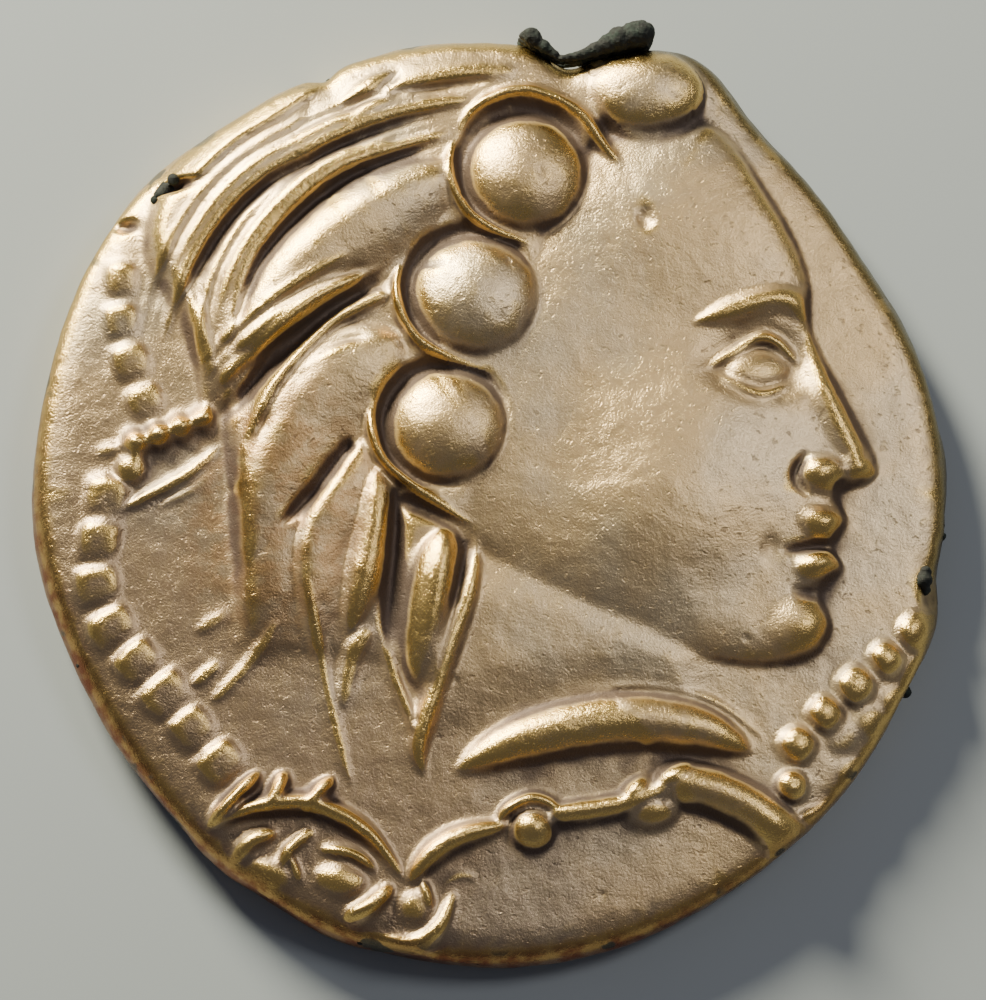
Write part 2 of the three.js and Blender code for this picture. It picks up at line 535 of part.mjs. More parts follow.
// A face of the coin as a sheet of triangles that is refined where it stands worst for the surface.
class Sheet {
  constructor({ points, triangles, rim }, heightAt) {
    Object.assign(this, { points, triangles, rim, heightAt });
    this.known = new Map();
  }

  edge(a, b) {
    return a < b ? a * 32768 + b : b * 32768 + a;
  }

  length(a, b) {
    return hypot(this.points[a][0] - this.points[b][0], this.points[a][1] - this.points[b][1]);
  }

  misfitOf(triangle) {
    const name = [...triangle].sort((i, j) => i - j).join();
    if (!this.known.has(name)) {
      this.known.set(name, misfit(triangle.map((i) => this.points[i]), this.heightAt));
    }
    return this.known.get(name);
  }

  longestFirst([a, b, c]) {
    const rank = (t) => this.length(t[0], t[1]) + this.edge(t[0], t[1]) * 1e-14;
    return [[a, b, c], [b, c, a], [c, a, b]].reduce((best, t) => (rank(t) > rank(best) ? t : best));
  }

  // The new point on a split edge: where the surface leaves the edge most, so that it finds crests.
  splitPoint(a, b) {
    const { points, rim, heightAt } = this;
    const along = (share) => [0, 1, 2].map((k) => points[a][k] * (1 - share) + points[b][k] * share);
    let [x, y] = along(0.5);
    if (rim.has(a) && rim.has(b)) {
      const angle = atan2(y, x);
      [x, y] = [flanRadiusAt(angle) * cos(angle), flanRadiusAt(angle) * sin(angle)];
      rim.add(points.length);
    } else {
      let most = 0.004;
      for (let share = 0.32; share < 0.7; share += 0.06) {
        const [u, v, w] = along(share);
        const gap = abs(heightAt(u, v) - w);
        if (gap > most) [x, y, most] = [u, v, gap];
      }
    }
    points.push([x, y, heightAt(x, y)]);
    return points.length - 1;
  }

  // Splits the longest edges of the worst triangles, and of their neighbours as far as it is needed.
  splitWorst(share) {
    this.triangles = this.triangles.map((t) => this.longestFirst(t));
    const tooSmall = (t) => this.length(t[0], t[1]) < finestEdge;
    const open = this.triangles.filter((t) => !tooSmall(t));
    const worst = open.sort((s, t) => this.misfitOf(t) - this.misfitOf(s)).slice(0, share);
    const split = new Map(worst.map((t) => [this.edge(t[0], t[1]), null]));
    for (let grew = true; grew; ) {
      grew = false;
      for (const [a, b, c] of this.triangles) {
        if (split.has(this.edge(a, b))) continue;
        if (!split.has(this.edge(b, c)) && !split.has(this.edge(c, a))) continue;
        split.set(this.edge(a, b), null);
        grew = true;
      }
    }
    const middle = (a, b) => {
      const name = this.edge(a, b);
      if (split.get(name) === null) split.set(name, this.splitPoint(a, b));
      return split.get(name);
    };
    const halve = (a, b, c) => {
      if (!split.has(this.edge(a, b))) return [[a, b, c]];
      const m = middle(a, b);
      return [[a, m, c], [m, b, c]];
    };
    this.triangles = this.triangles.flatMap(([a, b, c]) => {
      if (!split.has(this.edge(a, b))) return [[a, b, c]];
      const m = middle(a, b);
      return [...halve(c, a, m), ...halve(b, c, m)];
    });
  }

  // A triangle may be made by a swap if it faces up and is not a sliver.
  wellShaped([a, b, c]) {
    const [p, q, r] = [a, b, c].map((i) => this.points[i]);
    const doubleArea = (q[0] - p[0]) * (r[1] - p[1]) - (r[0] - p[0]) * (q[1] - p[1]);
    const longest = max(this.length(a, b), this.length(b, c), this.length(c, a));
    return doubleArea > 0.22 * longest * longest;
  }

  // Swaps the shared edge of two triangles where that fits the surface better: edges turn to run
  // along the crests and cuts.
  swapEdges() {
    const owners = new Map();
    this.triangles.forEach((t, i) => {
      for (const k of [0, 1, 2]) {
        const name = this.edge(t[k], t[(k + 1) % 3]);
        owners.set(name, [...(owners.get(name) ?? []), [i, k]]);
      }
    });
    const touched = new Set();
    for (const pair of owners.values()) {
      if (pair.length < 2 || pair.some(([i]) => touched.has(i))) continue;
      const [[i, k], [j, l]] = pair;
      const [a, b, c] = [0, 1, 2].map((step) => this.triangles[i][(k + step) % 3]);
      const d = this.triangles[j][(l + 2) % 3];
      const swapped = [[a, d, c], [d, b, c]];
      if (!swapped.every((t) => this.wellShaped(t))) continue;
      const before = this.misfitOf(this.triangles[i]) + this.misfitOf(this.triangles[j]);
      if (swapped.reduce((total, t) => total + this.misfitOf(t), 0) > 0.96 * before) continue;
      [this.triangles[i], this.triangles[j]] = swapped;
      touched.add(i).add(j);
    }
    return touched.size;
  }

  refine(allowed) {
    for (let room = allowed - this.triangles.length; room > 6; room = allowed - this.triangles.length) {
      this.splitWorst(min(this.triangles.length / 6, room / 3) | 0);
      this.swapEdges();
      this.swapEdges();
    }
    for (let turn = 0; turn < 8 && this.swapEdges(); turn++);
    return this;
  }
}

// Joins the two sheets with a band round the edge.
function closeEdge(upper, lower) {
  const position = [...upper.points, ...lower.points].flat();
  const shift = upper.points.length;
  const index = [
    ...upper.triangles.flat(),
    ...lower.triangles.flatMap(([a, b, c]) => [a + shift, c + shift, b + shift]),
  ];
  const turnOf = ({ points }, i) => THREE.MathUtils.euclideanModulo(atan2(points[i][1], points[i][0]), 2 * PI);
  const loopOf = (sheet) => [...sheet.rim].sort((i, j) => turnOf(sheet, i) - turnOf(sheet, j));
  const top = loopOf(upper);
  const bottom = loopOf(lower);
  const turnAfter = (sheet, loop, i) => (i < loop.length ? turnOf(sheet, loop[i]) : 2 * PI);
  for (let i = 0, j = 0; i < top.length || j < bottom.length; ) {
    const above = top[i % top.length];
    const below = bottom[j % bottom.length] + shift;
    const topTurn = i < top.length ? turnAfter(upper, top, i + 1) : Infinity;
    const bottomTurn = j < bottom.length ? turnAfter(lower, bottom, j + 1) : Infinity;
    if (topTurn <= bottomTurn) {
      i += 1;
      index.push(below, top[i % top.length], above);
    } else {
      j += 1;
      index.push(below, bottom[j % bottom.length] + shift, above);
    }
  }
  const geometry = new THREE.BufferGeometry();
  geometry.setAttribute("position", new THREE.Float32BufferAttribute(position, 3));
  geometry.setIndex(index);
  return geometry;
}

// ---------------------------------------------------------------- dirt in the notch

// Hard dark dirt clings to the edge at the crown, as lumps run together.
const dirtLumps = [
  { at: [0.76, 10.44, 1.0], size: [0.34, 0.26, 0.4] },
  { at: [1.1, 10.22, 0.96], size: [0.32, 0.22, 0.4] },
  { at: [2.05, 10.0, 1.0], size: [0.5, 0.22, 0.4] },
  { at: [2.6, 10.3, 1.1], size: [0.52, 0.3, 0.46] },
  { at: [3.05, 10.5, 1.15], size: [0.5, 0.36, 0.48] },
  { at: [3.4, 10.55, 1.15], size: [0.36, 0.36, 0.48] },
];

const wasm = await Module();
wasm.setup();

function solidOf(geometry) {
  const bare = geometry.clone();
  bare.deleteAttribute("normal");
  bare.deleteAttribute("uv");
  const merged = mergeVertices(bare, 1e-5);
  const vertProperties = new Float32Array(merged.attributes.position.array);
  const triVerts = new Uint32Array(merged.index.array);
  return new wasm.Manifold(new wasm.Mesh({ numProp: 3, vertProperties, triVerts }));
}

function geometryOf(solid) {
  const { vertProperties, triVerts } = solid.getMesh();
  const geometry = new THREE.BufferGeometry();
  geometry.setAttribute("position", new THREE.Float32BufferAttribute(vertProperties, 3));
  geometry.setIndex(new THREE.BufferAttribute(triVerts, 1));
  const flat = geometry.toNonIndexed();
  flat.computeVertexNormals();
  return flat;
}

// Lengthens the flan along its long axis.
function ovalStretch() {
  const turn = new THREE.Matrix4().makeRotationZ(radians(-flan.ovalTurn));
  const lengthen = new THREE.Matrix4().makeScale(1, flan.oval, 1);
  return new THREE.Matrix4().multiplyMatrices(turn, lengthen).multiply(turn.clone().invert());
}

function struckCoin() {
  const upper = new Sheet(ringedSheet(obverseHeight, 14), obverseHeight).refine(obverseTriangles);
  const lower = new Sheet(ringedSheet(reverseHeight, 12), reverseHeight).refine(reverseTriangles);
  const lumps = dirtLumps.map(({ at, size }) => {
    const lump = new THREE.SphereGeometry(1, 8, 5);
    return solidOf(lump.scale(...size).translate(...at));
  });
  const round = lumps.reduce((solid, lump) => solid.add(lump), solidOf(closeEdge(upper, lower)));
  return geometryOf(round).applyMatrix4(ovalStretch());
}

const gold = new THREE.MeshStandardMaterial({ color: 0xb59a68, roughness: 0.42, metalness: 1 });
const coin = new THREE.Mesh(struckCoin(), gold);
coin.name = "coin";

const part = new THREE.Group();
part.add(coin);

export default part;
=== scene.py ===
import math

import bpy
import numpy as np
from mathutils import Matrix, Quaternion, Vector


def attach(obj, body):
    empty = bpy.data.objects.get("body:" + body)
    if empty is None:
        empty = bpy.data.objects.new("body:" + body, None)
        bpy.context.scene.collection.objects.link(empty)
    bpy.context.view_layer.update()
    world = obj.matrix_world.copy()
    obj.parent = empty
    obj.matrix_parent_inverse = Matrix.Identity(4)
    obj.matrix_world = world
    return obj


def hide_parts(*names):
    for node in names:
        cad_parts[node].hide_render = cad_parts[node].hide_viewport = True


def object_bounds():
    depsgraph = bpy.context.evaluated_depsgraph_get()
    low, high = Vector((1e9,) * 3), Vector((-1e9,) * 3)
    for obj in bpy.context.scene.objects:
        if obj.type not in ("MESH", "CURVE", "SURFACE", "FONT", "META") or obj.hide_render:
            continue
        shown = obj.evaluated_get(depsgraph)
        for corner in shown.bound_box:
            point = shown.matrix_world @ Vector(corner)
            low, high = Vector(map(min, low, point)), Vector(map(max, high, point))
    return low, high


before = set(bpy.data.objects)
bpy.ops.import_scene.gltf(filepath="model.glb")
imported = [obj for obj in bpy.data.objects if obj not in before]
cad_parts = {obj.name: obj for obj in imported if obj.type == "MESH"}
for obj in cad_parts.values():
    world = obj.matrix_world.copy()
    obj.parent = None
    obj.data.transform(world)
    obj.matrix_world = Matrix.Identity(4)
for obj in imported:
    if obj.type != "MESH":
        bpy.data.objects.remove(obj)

cadLow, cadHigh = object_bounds()
mm = 0.001  # the relief below is set out in millimetres, as on the struck blank


# node trees: an expression on Wires adds its Math nodes

class Wire:
    def __init__(self, nodes, socket):
        self.nodes, self.socket = nodes, socket

    def maths(self, operation, *values):
        return self.nodes.add("ShaderNodeMath", {"operation": operation}, dict(enumerate(values)))

    def __add__(self, other): return self.maths("ADD", self, other)
    def __sub__(self, other): return self.maths("SUBTRACT", self, other)
    def __rsub__(self, other): return self.maths("SUBTRACT", other, self)
    def __mul__(self, other): return self.maths("MULTIPLY", self, other)
    def __truediv__(self, other): return self.maths("DIVIDE", self, other)
    def __rtruediv__(self, other): return self.maths("DIVIDE", other, self)
    __radd__, __rmul__ = __add__, __mul__

    def above(self, edge): return self.maths("GREATER_THAN", self, edge)
    def atLeast(self, other): return self.maths("MAXIMUM", self, other)

    def rise(self, low, high):  # smooth step from 0 at low to 1 at high
        return self.nodes.add("ShaderNodeMapRange", {"interpolation_type": "SMOOTHSTEP"},
                              {"Value": self, "From Min": low, "From Max": high})


class Nodes:
    def __init__(self, tree):
        self.tree = tree

    def add(self, kind, settings=None, sockets=None, output=0):
        node = self.tree.nodes.new(kind)
        for name, value in (settings or {}).items():
            setattr(node, name, value)
        for name, value in (sockets or {}).items():
            if isinstance(value, Wire):
                self.tree.links.new(value.socket, node.inputs[name])
            else:
                node.inputs[name].default_value = value
        return Wire(self, node.outputs[output]) if node.outputs else node

    def other(self, wire, output):  # another output of the node behind a wire
        return Wire(self, wire.socket.node.outputs[output])

    def up(self, height):
        return self.add("ShaderNodeCombineXYZ", None, {"Z": height})

    def scaled(self, vector, factor):
        return self.add("ShaderNodeVectorMath", {"operation": "SCALE"}, {0: vector, "Scale": factor})

    def named(self, label):  # a number stored on the points of a mesh
        return self.add("GeometryNodeInputNamedAttribute", {"data_type": "FLOAT"}, {"Name": label})


# relief: heights over (x, y) in millimetres, as closures that are cheap away from their own place

def smooth(value):
    value = np.clip(value, 0, 1)
    return value * value * (3 - 2 * value)


def filletMax(a, b, fillet=0.08):  # the larger of two heights, with a fillet where they cross
    near = np.maximum(fillet - np.abs(a - b), 0) / fillet
    return np.maximum(a, b) + near * near * fillet / 4


def curveThrough(points, closed=False, steps=8):
    p = np.array(points, float)
    p = np.vstack([p[-1:], p, p[:2]]) if closed else np.vstack([p[:1], p, p[-1:]])
    t = np.linspace(0, 1, steps, endpoint=False)[:, None]
    spans = [
        0.5 * (2 * b + (c - a) * t + (2 * a - 5 * b + 4 * c - d) * t**2 + (3 * b - a - 3 * c + d) * t**3)
        for a, b, c, d in zip(p, p[1:], p[2:], p[3:])
    ]
    return np.vstack(spans + [p[-2:-1]])


def nearest(chain, x, y):  # distance to a chain, share of the way along it, and which side of it
    best = np.full(x.shape, np.inf)
    along, side = np.zeros_like(best), np.ones_like(best)
    for i, ((ax, ay), (bx, by)) in enumerate(zip(chain, chain[1:])):
        dx, dy = bx - ax, by - ay
        share = np.clip(((x - ax) * dx + (y - ay) * dy) / (dx * dx + dy * dy + 1e-12), 0, 1)
        away = np.hypot(x - ax - share * dx, y - ay - share * dy)
        closer = away < best
        best = np.where(closer, away, best)
        along = np.where(closer, (i + share) / (len(chain) - 1), along)
        side = np.where(closer, np.where(dx * (y - ay) - dy * (x - ax) < 0, -1, 1), side)
    return best, along, side


def stroke(points, halfWidth, height, blunt=False, steep=1, fullness=2):
    chain = curveThrough(points)
    low, high = chain.min(0) - halfWidth, chain.max(0) + halfWidth

    def heightAt(x, y):
        result = np.zeros(x.shape)
        here = (x > low[0]) & (x < high[0]) & (y > low[1]) & (y < high[1])
        if here.any():
            distance, along, side = nearest(chain, x[here], y[here])
            thin = 1 - np.abs(2 * along - 1) ** (12 if blunt else 3)
            reach = halfWidth * np.maximum(thin, 0.15) * np.where(side < 0, steep, 1)
            result[here] = height * thin * np.maximum(1 - (distance / reach) ** 2, 0) ** fullness
        return result
    return heightAt


def boss(centre, size, height, turn=0, fullness=2):
    c, s = math.cos(math.radians(turn)), math.sin(math.radians(turn))

    def heightAt(x, y):
        u = ((x - centre[0]) * c + (y - centre[1]) * s) / size[0]
        v = ((y - centre[1]) * c - (x - centre[0]) * s) / size[1]
        return height * np.maximum(1 - u * u - v * v, 0) ** fullness
    return heightAt


def outlineDepth(points):  # how deep (x, y) lies inside a closed outline, and 0 outside
    chain = curveThrough(points, closed=True)

    def depthAt(x, y):
        inside = np.zeros(x.shape, bool)
        for (ax, ay), (bx, by) in zip(chain, chain[1:]):
            crosses = (ay > y) != (by > y)
            inside ^= crosses & (x < ax + (y - ay) * (bx - ax) / (by - ay + 1e-12))
        return np.where(inside, nearest(chain, x, y)[0], 0)
    return depthAt


def highest(shapes, x, y):
    return np.max([shape(x, y) for shape in shapes], axis=0)


# the blank

flan = {
    "radius": 10.33,
    "swellings": [  # degrees round from +X, reach, spread in degrees
        (66, 0.85, 8.5), (100, 0.22, 20), (145, 0.42, 22), (180, 0.14, 14), (264, 0.14, 26),
        (342, 0.12, 6), (32, -0.24, 13), (212, -0.24, 22), (80.5, -0.42, 3.4), (112.5, -0.17, 1.6),
        (350, -0.14, 3),
    ],
    "underEdge": 0.38,  # lower arris of the edge
    "upperEdge": 0.92,  # upper arris
    "faceHeight": 1.22,  # obverse field beside the edge
    "dome": 0.36,
    "roundedShare": 0.08,
    "dishShare": 0.83,
    "dishDepth": 0.34,
    "obverseRings": 158,
    "reverseRings": 78,
    "sideRows": 4,
    "hammerMarks": 0.05,  # unevenness of the edge
    "edgeSwell": 0.006,  # how far the edge stands out between its arrises, in radii
    "oval": 1.026,  # longer by this along a line turned from -Y towards -X
    "ovalTurn": 20,
}


def flanRadius(angle):
    degrees = np.degrees(angle)
    radius = np.full(np.shape(angle), flan["radius"])
    for at, reach, spread in flan["swellings"]:
        radius += reach * np.exp(-(((degrees - at + 180) % 360 - 180) / spread) ** 2)
    return radius


def edgeDrop(share):  # quarter round at the edge: 0 inside it, 1 at the arris
    into = np.clip((share - 1 + flan["roundedShare"]) / flan["roundedShare"], 0, 1)
    return 1 - np.sqrt(1 - into * into)


# the face: thirds from brow to nose to chin, set out forward and up from the root of the nose

face = {
    "third": 3.9,
    "noseRoot": 7.15,
    "chin": -3.5,
    "edgeHeight": 0.36,
    "shoulder": 0.75,
}


def onFace(*places):
    return [(face["noseRoot"] + forward * face["third"], face["chin"] + up * face["third"])
            for forward, up in places]


def faceBoss(place, size, height, **more):
    return boss(onFace(place)[0], [value * face["third"] for value in size], height, **more)


faceDepth = outlineDepth(onFace(
    (-0.62, 3.2), (-0.24, 2.76), (-0.02, 2.3), (0.0, 1.95), (0.16, 1.6), (0.36, 1.2), (0.35, 1.07),
    (0.15, 0.98), (0.19, 0.82), (0.11, 0.68), (0.16, 0.55), (0.04, 0.4), (0.09, 0.2), (-0.06, 0.02),
    (-0.5, 0.0), (-1.05, 0.16), (-1.65, 0.45), (-2.3, 0.9), (-2.5, 1.6), (-1.9, 2.3), (-1.3, 3.05),
))

faceForms = [
    faceBoss((-0.72, 1.15), (0.85, 0.8), 0.34),  # cheek
    faceBoss((-1.0, 0.72), (0.75, 0.55), 0.16),  # jaw
    faceBoss((-0.65, 2.55), (0.8, 0.62), 0.18),  # forehead
    faceBoss((-0.08, 0.2), (0.26, 0.22), 0.2),  # chin
    faceBoss((-0.3, 1.75), (0.46, 0.28), -0.34),  # hollow round the eye
    faceBoss((-0.33, 1.72), (0.2, 0.13), 0.36, fullness=0.8),  # eyeball
    stroke(onFace((0.04, 1.98), (-0.2, 2.12), (-0.72, 1.97)), 0.42, 0.22),  # brow
    stroke(onFace((-0.08, 1.74), (-0.3, 1.89), (-0.64, 1.7)), 0.2, 0.26),  # upper lid
    stroke(onFace((-0.13, 1.63), (-0.33, 1.56), (-0.58, 1.67)), 0.17, 0.17),  # lower lid
    stroke(onFace((-0.02, 1.95), (0.12, 1.5), (0.27, 1.15)), 0.52, 0.2),  # bridge of the nose
    faceBoss((0.25, 1.12), (0.13, 0.12), 0.16),  # tip
    faceBoss((0.05, 1.09), (0.14, 0.12), 0.28, fullness=1),  # wing
    stroke(onFace((-0.05, 1.22), (-0.12, 1.07), (-0.03, 0.95)), 0.18, -0.16),  # behind the wing
    faceBoss((0.16, 1.02), (0.07, 0.04), -0.18),  # nostril
    faceBoss((0.06, 0.79), (0.19, 0.11), 0.24, turn=-20, fullness=1.4),  # upper lip
    faceBoss((0.03, 0.56), (0.18, 0.1), 0.26, turn=12, fullness=1.4),  # lower lip
    stroke(onFace((0.2, 0.69), (0.0, 0.67), (-0.22, 0.63)), 0.16, -0.22),  # mouth
    faceBoss((-0.27, 0.64), (0.09, 0.12), -0.08),  # corner of the mouth
    stroke(onFace((0.08, 0.41), (-0.02, 0.39), (-0.16, 0.42)), 0.24, -0.14),  # under the lip
]


def faceRelief(x, y):
    depth = faceDepth(x, y)
    shoulder = face["shoulder"] + 1.5 * smooth((face["noseRoot"] - 1 - x) / face["third"])
    rise = np.sqrt(1 - (1 - np.minimum(depth / shoulder, 1)) ** 2)
    forms = np.sum([form(x, y) for form in faceForms], axis=0)
    return np.where(depth > 0, face["edgeHeight"] * rise + forms * smooth(depth / 0.3), 0)


# the hair

curls = [  # each ball, and the socket that it sits in
    {"at": (3.38, 9.7), "size": (1.32, 0.98), "rise": 0.42, "floor": 0.3, "socket": (3.34, 9.68, 1.25)},
    {"at": (0.55, 7.65), "size": (1.4, 1.38), "rise": 0.72, "floor": 0.16, "socket": (0.46, 7.86, 1.64),
     "lid": (1.15, 5.9)},
    {"at": (-0.58, 4.78), "size": (1.5, 1.44), "rise": 0.72, "floor": 0.14, "socket": (-0.78, 4.98, 1.62),
     "lid": (0.4, 2.82)},
    {"at": (-1.2, 1.8), "size": (1.4, 1.34), "rise": 0.72, "floor": 0.12, "socket": (-1.38, 1.92, 1.58),
     "lid": (-0.3, -0.65)},
]

hair = {
    "height": 0.32,
    "lidAngles": (150, 180, 212, 244),  # a lid runs down the back of its socket and under it
    "lidWidth": 0.21,
    "lidHeight": 0.72,
    "strandWidth": 0.17,
    "strandHeight": 0.1,
    "strandGaps": (0.34, 0.66),  # from a crest to the finer strands beside it
}


def lidOf(curl):
    cx, cy, reach = curl["socket"]
    arc = [(cx + (reach + 0.04) * math.cos(math.radians(angle)),
            cy + (reach + 0.04) * math.sin(math.radians(angle))) for angle in hair["lidAngles"]]
    return stroke(arc + [curl["lid"]], hair["lidWidth"], hair["lidHeight"], fullness=1.4)


lids = [lidOf(curl) for curl in curls if "lid" in curl]
lids.append(stroke([(-1.15, 8.2), (-0.7, 9.15), (0.45, 9.62), (1.65, 9.2), (2.35, 8.35), (3.0, 7.6)],
                   0.26, 0.62, fullness=1.4))

hairDepth = outlineDepth([
    (3.3, 10.9), (2.3, 8.2), (1.3, 6.0), (0.4, 3.2), (0.1, 1.2), (-0.6, -0.6), (-1.5, -4.0),
    (-2.8, -3.8), (-4.6, -3.6), (-6.0, -3.4), (-6.25, -0.5), (-6.6, 2.0), (-7.5, 4.2), (-8.3, 6.6),
    (-6.5, 9.6), (-2.0, 11.2),
])

locks = [  # broad; a steep one has its narrow flank on the right of its run
    stroke([(-8.1, 4.9), (-7.1, 7.2), (-4.4, 9.3)], 0.75, 0.16),
    stroke([(-6.9, 3.2), (-6.2, 5.9), (-4.8, 7.4), (-2.3, 8.65)], 0.55, 0.1),
    stroke([(-0.9, 7.85), (-3.0, 6.8), (-4.75, 5.4), (-6.2, 3.5)], 1.4, 0.54, steep=0.66, fullness=1.3),
    stroke([(-2.2, 3.8), (-3.3, 3.35), (-4.5, 2.5), (-5.3, 0.8), (-5.8, -1.6)], 1.5, 0.38,
           steep=0.7, fullness=1.3),
    stroke([(-4.4, 1.8), (-5.1, 0.0), (-5.5, -3.0)], 1.1, 0.14),
    stroke([(-3.1, 1.5), (-3.9, 0.2), (-4.4, -1.0), (-4.2, -3.4)], 0.95, 0.26, steep=0.4, fullness=1.3),
    stroke([(-2.85, 0.9), (-2.95, -0.7), (-3.45, -2.9)], 0.5, 0.3, fullness=1.3),
    stroke([(-1.3, -0.5), (-1.52, -2.2), (-1.87, -4.2)], 0.68, 0.5, fullness=0.8),
    stroke([(-3.0, 9.5), (-1.6, 10.0), (0.4, 10.1)], 0.5, 0.12),
    boss((-2.95, 9.6), (0.8, 0.42), 0.22, turn=25, fullness=1),
]


def beside(points, away):  # the same line, moved to the left of its run
    chain = np.array(points, float)
    run = np.gradient(chain, axis=0)
    run /= np.hypot(run[:, 0], run[:, 1])[:, None]
    return chain + np.stack([-run[:, 1], run[:, 0]], 1) * away


crestRows = (  # line, half width, height, share of the width that the steep flank takes
    ([(-7.4, 7.2), (-6.3, 8.35), (-5.1, 9.15), (-4.2, 9.7)], 0.45, 0.2, 0.45),
    ([(-7.7, 3.8), (-7.0, 5.75), (-5.9, 7.25), (-4.35, 8.25), (-2.55, 9.0), (-0.4, 9.45)], 0.6, 0.3, 0.4),
    ([(-6.35, 2.9), (-6.05, 4.9), (-5.2, 6.4), (-3.7, 7.72), (-1.1, 8.65)], 0.52, 0.3, 0.42),
    ([(-6.5, 2.7), (-5.3, 3.8), (-3.1, 5.25)], 0.46, 0.28, 0.42),
    ([(-5.85, 1.4), (-5.0, 3.0), (-4.0, 4.1), (-2.3, 4.95)], 0.42, 0.26, 0.45),
    ([(-5.4, 1.8), (-4.6, 3.05), (-3.3, 3.72)], 0.26, 0.14, 0.6),
    ([(-7.15, 5.0), (-6.8, 3.4), (-6.65, 1.9)], 0.35, 0.16, 0.7),
)
crests = [stroke(points, width, height, steep=steep, fullness=1.3)
          for points, width, height, steep in crestRows]
strands = [stroke(beside(points, away), hair["strandWidth"], hair["strandHeight"], fullness=1.2)
           for points, *_ in crestRows[:5] for away in hair["strandGaps"]]

wisps = [stroke(points, width, height, fullness=1.4) for points, width, height in (
    ([(-4.45, -1.5), (-4.1, -3.2), (-3.8, -4.6), (-3.35, -6.3)], 0.16, 0.12),
    ([(-2.95, -2.7), (-3.35, -3.3), (-3.62, -4.6)], 0.3, 0.16),
    ([(-2.8, -2.5), (-2.45, -3.7), (-2.05, -4.75), (-1.9, -5.5)], 0.16, 0.13),
    ([(-0.55, -0.7), (-0.75, -1.9), (-1.4, -3.75), (-1.85, -5.2), (-1.75, -6.0)], 0.3, 0.24),
    ([(-5.0, -2.5), (-5.7, -3.5), (-6.6, -4.4)], 0.2, 0.1),
    ([(-7.0, -4.0), (-6.3, -3.4)], 0.18, 0.1),
    ([(-6.9, -2.75), (-6.1, -2.3)], 0.2, 0.07),
)]

cuts = [  # below the crests
    stroke([(-7.85, 3.7), (-6.8, 5.7), (-5.75, 7.1), (-4.15, 8.15), (-2.6, 8.86), (-0.9, 9.2)], 0.22, 0.1),
    stroke([(-6.05, 3.9), (-5.55, 5.5), (-4.5, 6.8), (-3.2, 7.75), (-1.2, 8.42)], 0.22, 0.12),
    stroke([(-6.9, 1.3), (-6.1, 2.35), (-5.0, 3.4), (-4.0, 4.4), (-2.4, 5.3)], 0.3, 0.22),
    stroke([(-5.3, 4.4), (-4.2, 5.0), (-3.1, 5.5)], 0.28, 0.08),
    stroke([(-5.7, 1.1), (-5.0, 2.6), (-4.1, 3.45), (-3.0, 3.9)], 0.24, 0.14),
    stroke([(-3.4, 1.5), (-4.15, 0.5), (-5.05, -0.5)], 0.26, 0.16),
    stroke([(-2.4, 0.5), (-2.45, -1.2), (-2.6, -3.3)], 0.34, 0.28),
    stroke([(-2.6, 0.2), (-1.5, -0.15), (-0.4, -0.65)], 0.32, 0.24),
    stroke([(-0.9, -0.9), (-1.02, -2.4), (-1.5, -3.8)], 0.22, 0.2),
    stroke([(-3.75, 9.15), (-2.9, 9.55), (-2.3, 10.1)], 0.22, 0.2),
    stroke([(-2.2, 9.55), (-1.1, 9.75), (-0.2, 9.9)], 0.16, 0.14),
]


def hairRelief(x, y):
    depth = hairDepth(x, y)
    cap = hair["height"] * smooth(depth / 0.6) * smooth((y + 4.4) / 3)
    onCap = highest(locks, x, y) - highest(cuts, x, y) * smooth(depth / 0.2)
    return np.maximum(cap + onCap, 0)


def withCurls(height, x, y):
    for curl in curls:
        cx, cy, reach = curl["socket"]
        sunk = smooth((1 - np.hypot(x - cx, y - cy) / reach) / 0.14)
        height = height * (1 - sunk) + curl["floor"] * sunk
        out = np.hypot((x - curl["at"][0]) / curl["size"][0], (y - curl["at"][1]) / curl["size"][1])
        ball = curl["floor"] + curl["rise"] * np.maximum(1 - out * out, 0) ** 0.62
        height = np.where(out < 1, filletMax(height, ball), height)
    return height


# neck, collar and scroll

neck = {"height": 0.24, "fade": 1.6}

neckDepth = outlineDepth([
    (-1.6, -0.5), (3.0, -1.5), (5.2, -3.0), (5.0, -4.4), (6.3, -5.6), (2.5, -4.6), (-0.8, -5.4),
    (-2.2, -6.6), (-2.6, -4.0),
])

collar = [
    stroke([(-1.1, -5.9), (0.5, -5.2), (2.6, -4.8), (4.4, -4.95), (5.7, -5.5)], 0.66, 0.56, fullness=0.8),
    stroke([(0.6, -4.3), (3.0, -4.0), (4.8, -4.35), (6.2, -5.4)], 0.16, 0.14),
    stroke([(-2.1, -8.4), (-1.6, -7.75), (-0.9, -7.33), (0.3, -7.05)], 0.34, 0.42, fullness=1.2),
    stroke([(-0.15, -7.1), (0.15, -6.74), (0.7, -6.53), (1.22, -6.74), (1.35, -7.1)], 0.24, 0.42),
    boss((0.7, -7.2), (0.52, 0.5), 0.5, fullness=0.6),
    stroke([(1.0, -6.9), (2.0, -6.78), (2.9, -6.6), (4.0, -6.2)], 0.32, 0.42, blunt=True, fullness=1.1),
    boss((3.4, -6.78), (0.9, 0.58), 0.38, turn=12),
    boss((3.0, -6.36), (0.55, 0.32), 0.46, turn=40, fullness=1.2),
    boss((3.9, -6.06), (0.7, 0.36), 0.52, turn=25, fullness=1.2),
    stroke([(3.7, -6.2), (4.6, -6.3), (5.6, -6.72), (6.3, -7.25), (6.9, -7.8)], 0.55, 0.54,
           blunt=True, fullness=0.8),
    stroke([(4.0, -5.8), (5.1, -5.95), (6.1, -6.45), (6.8, -7.2)], 0.13, 0.12),
    stroke([(-1.4, -8.5), (-0.95, -8.2), (-0.45, -8.25)], 0.14, 0.1),
    stroke([(-0.06, -7.6), (0.08, -8.75)], 0.09, 0.05),
]

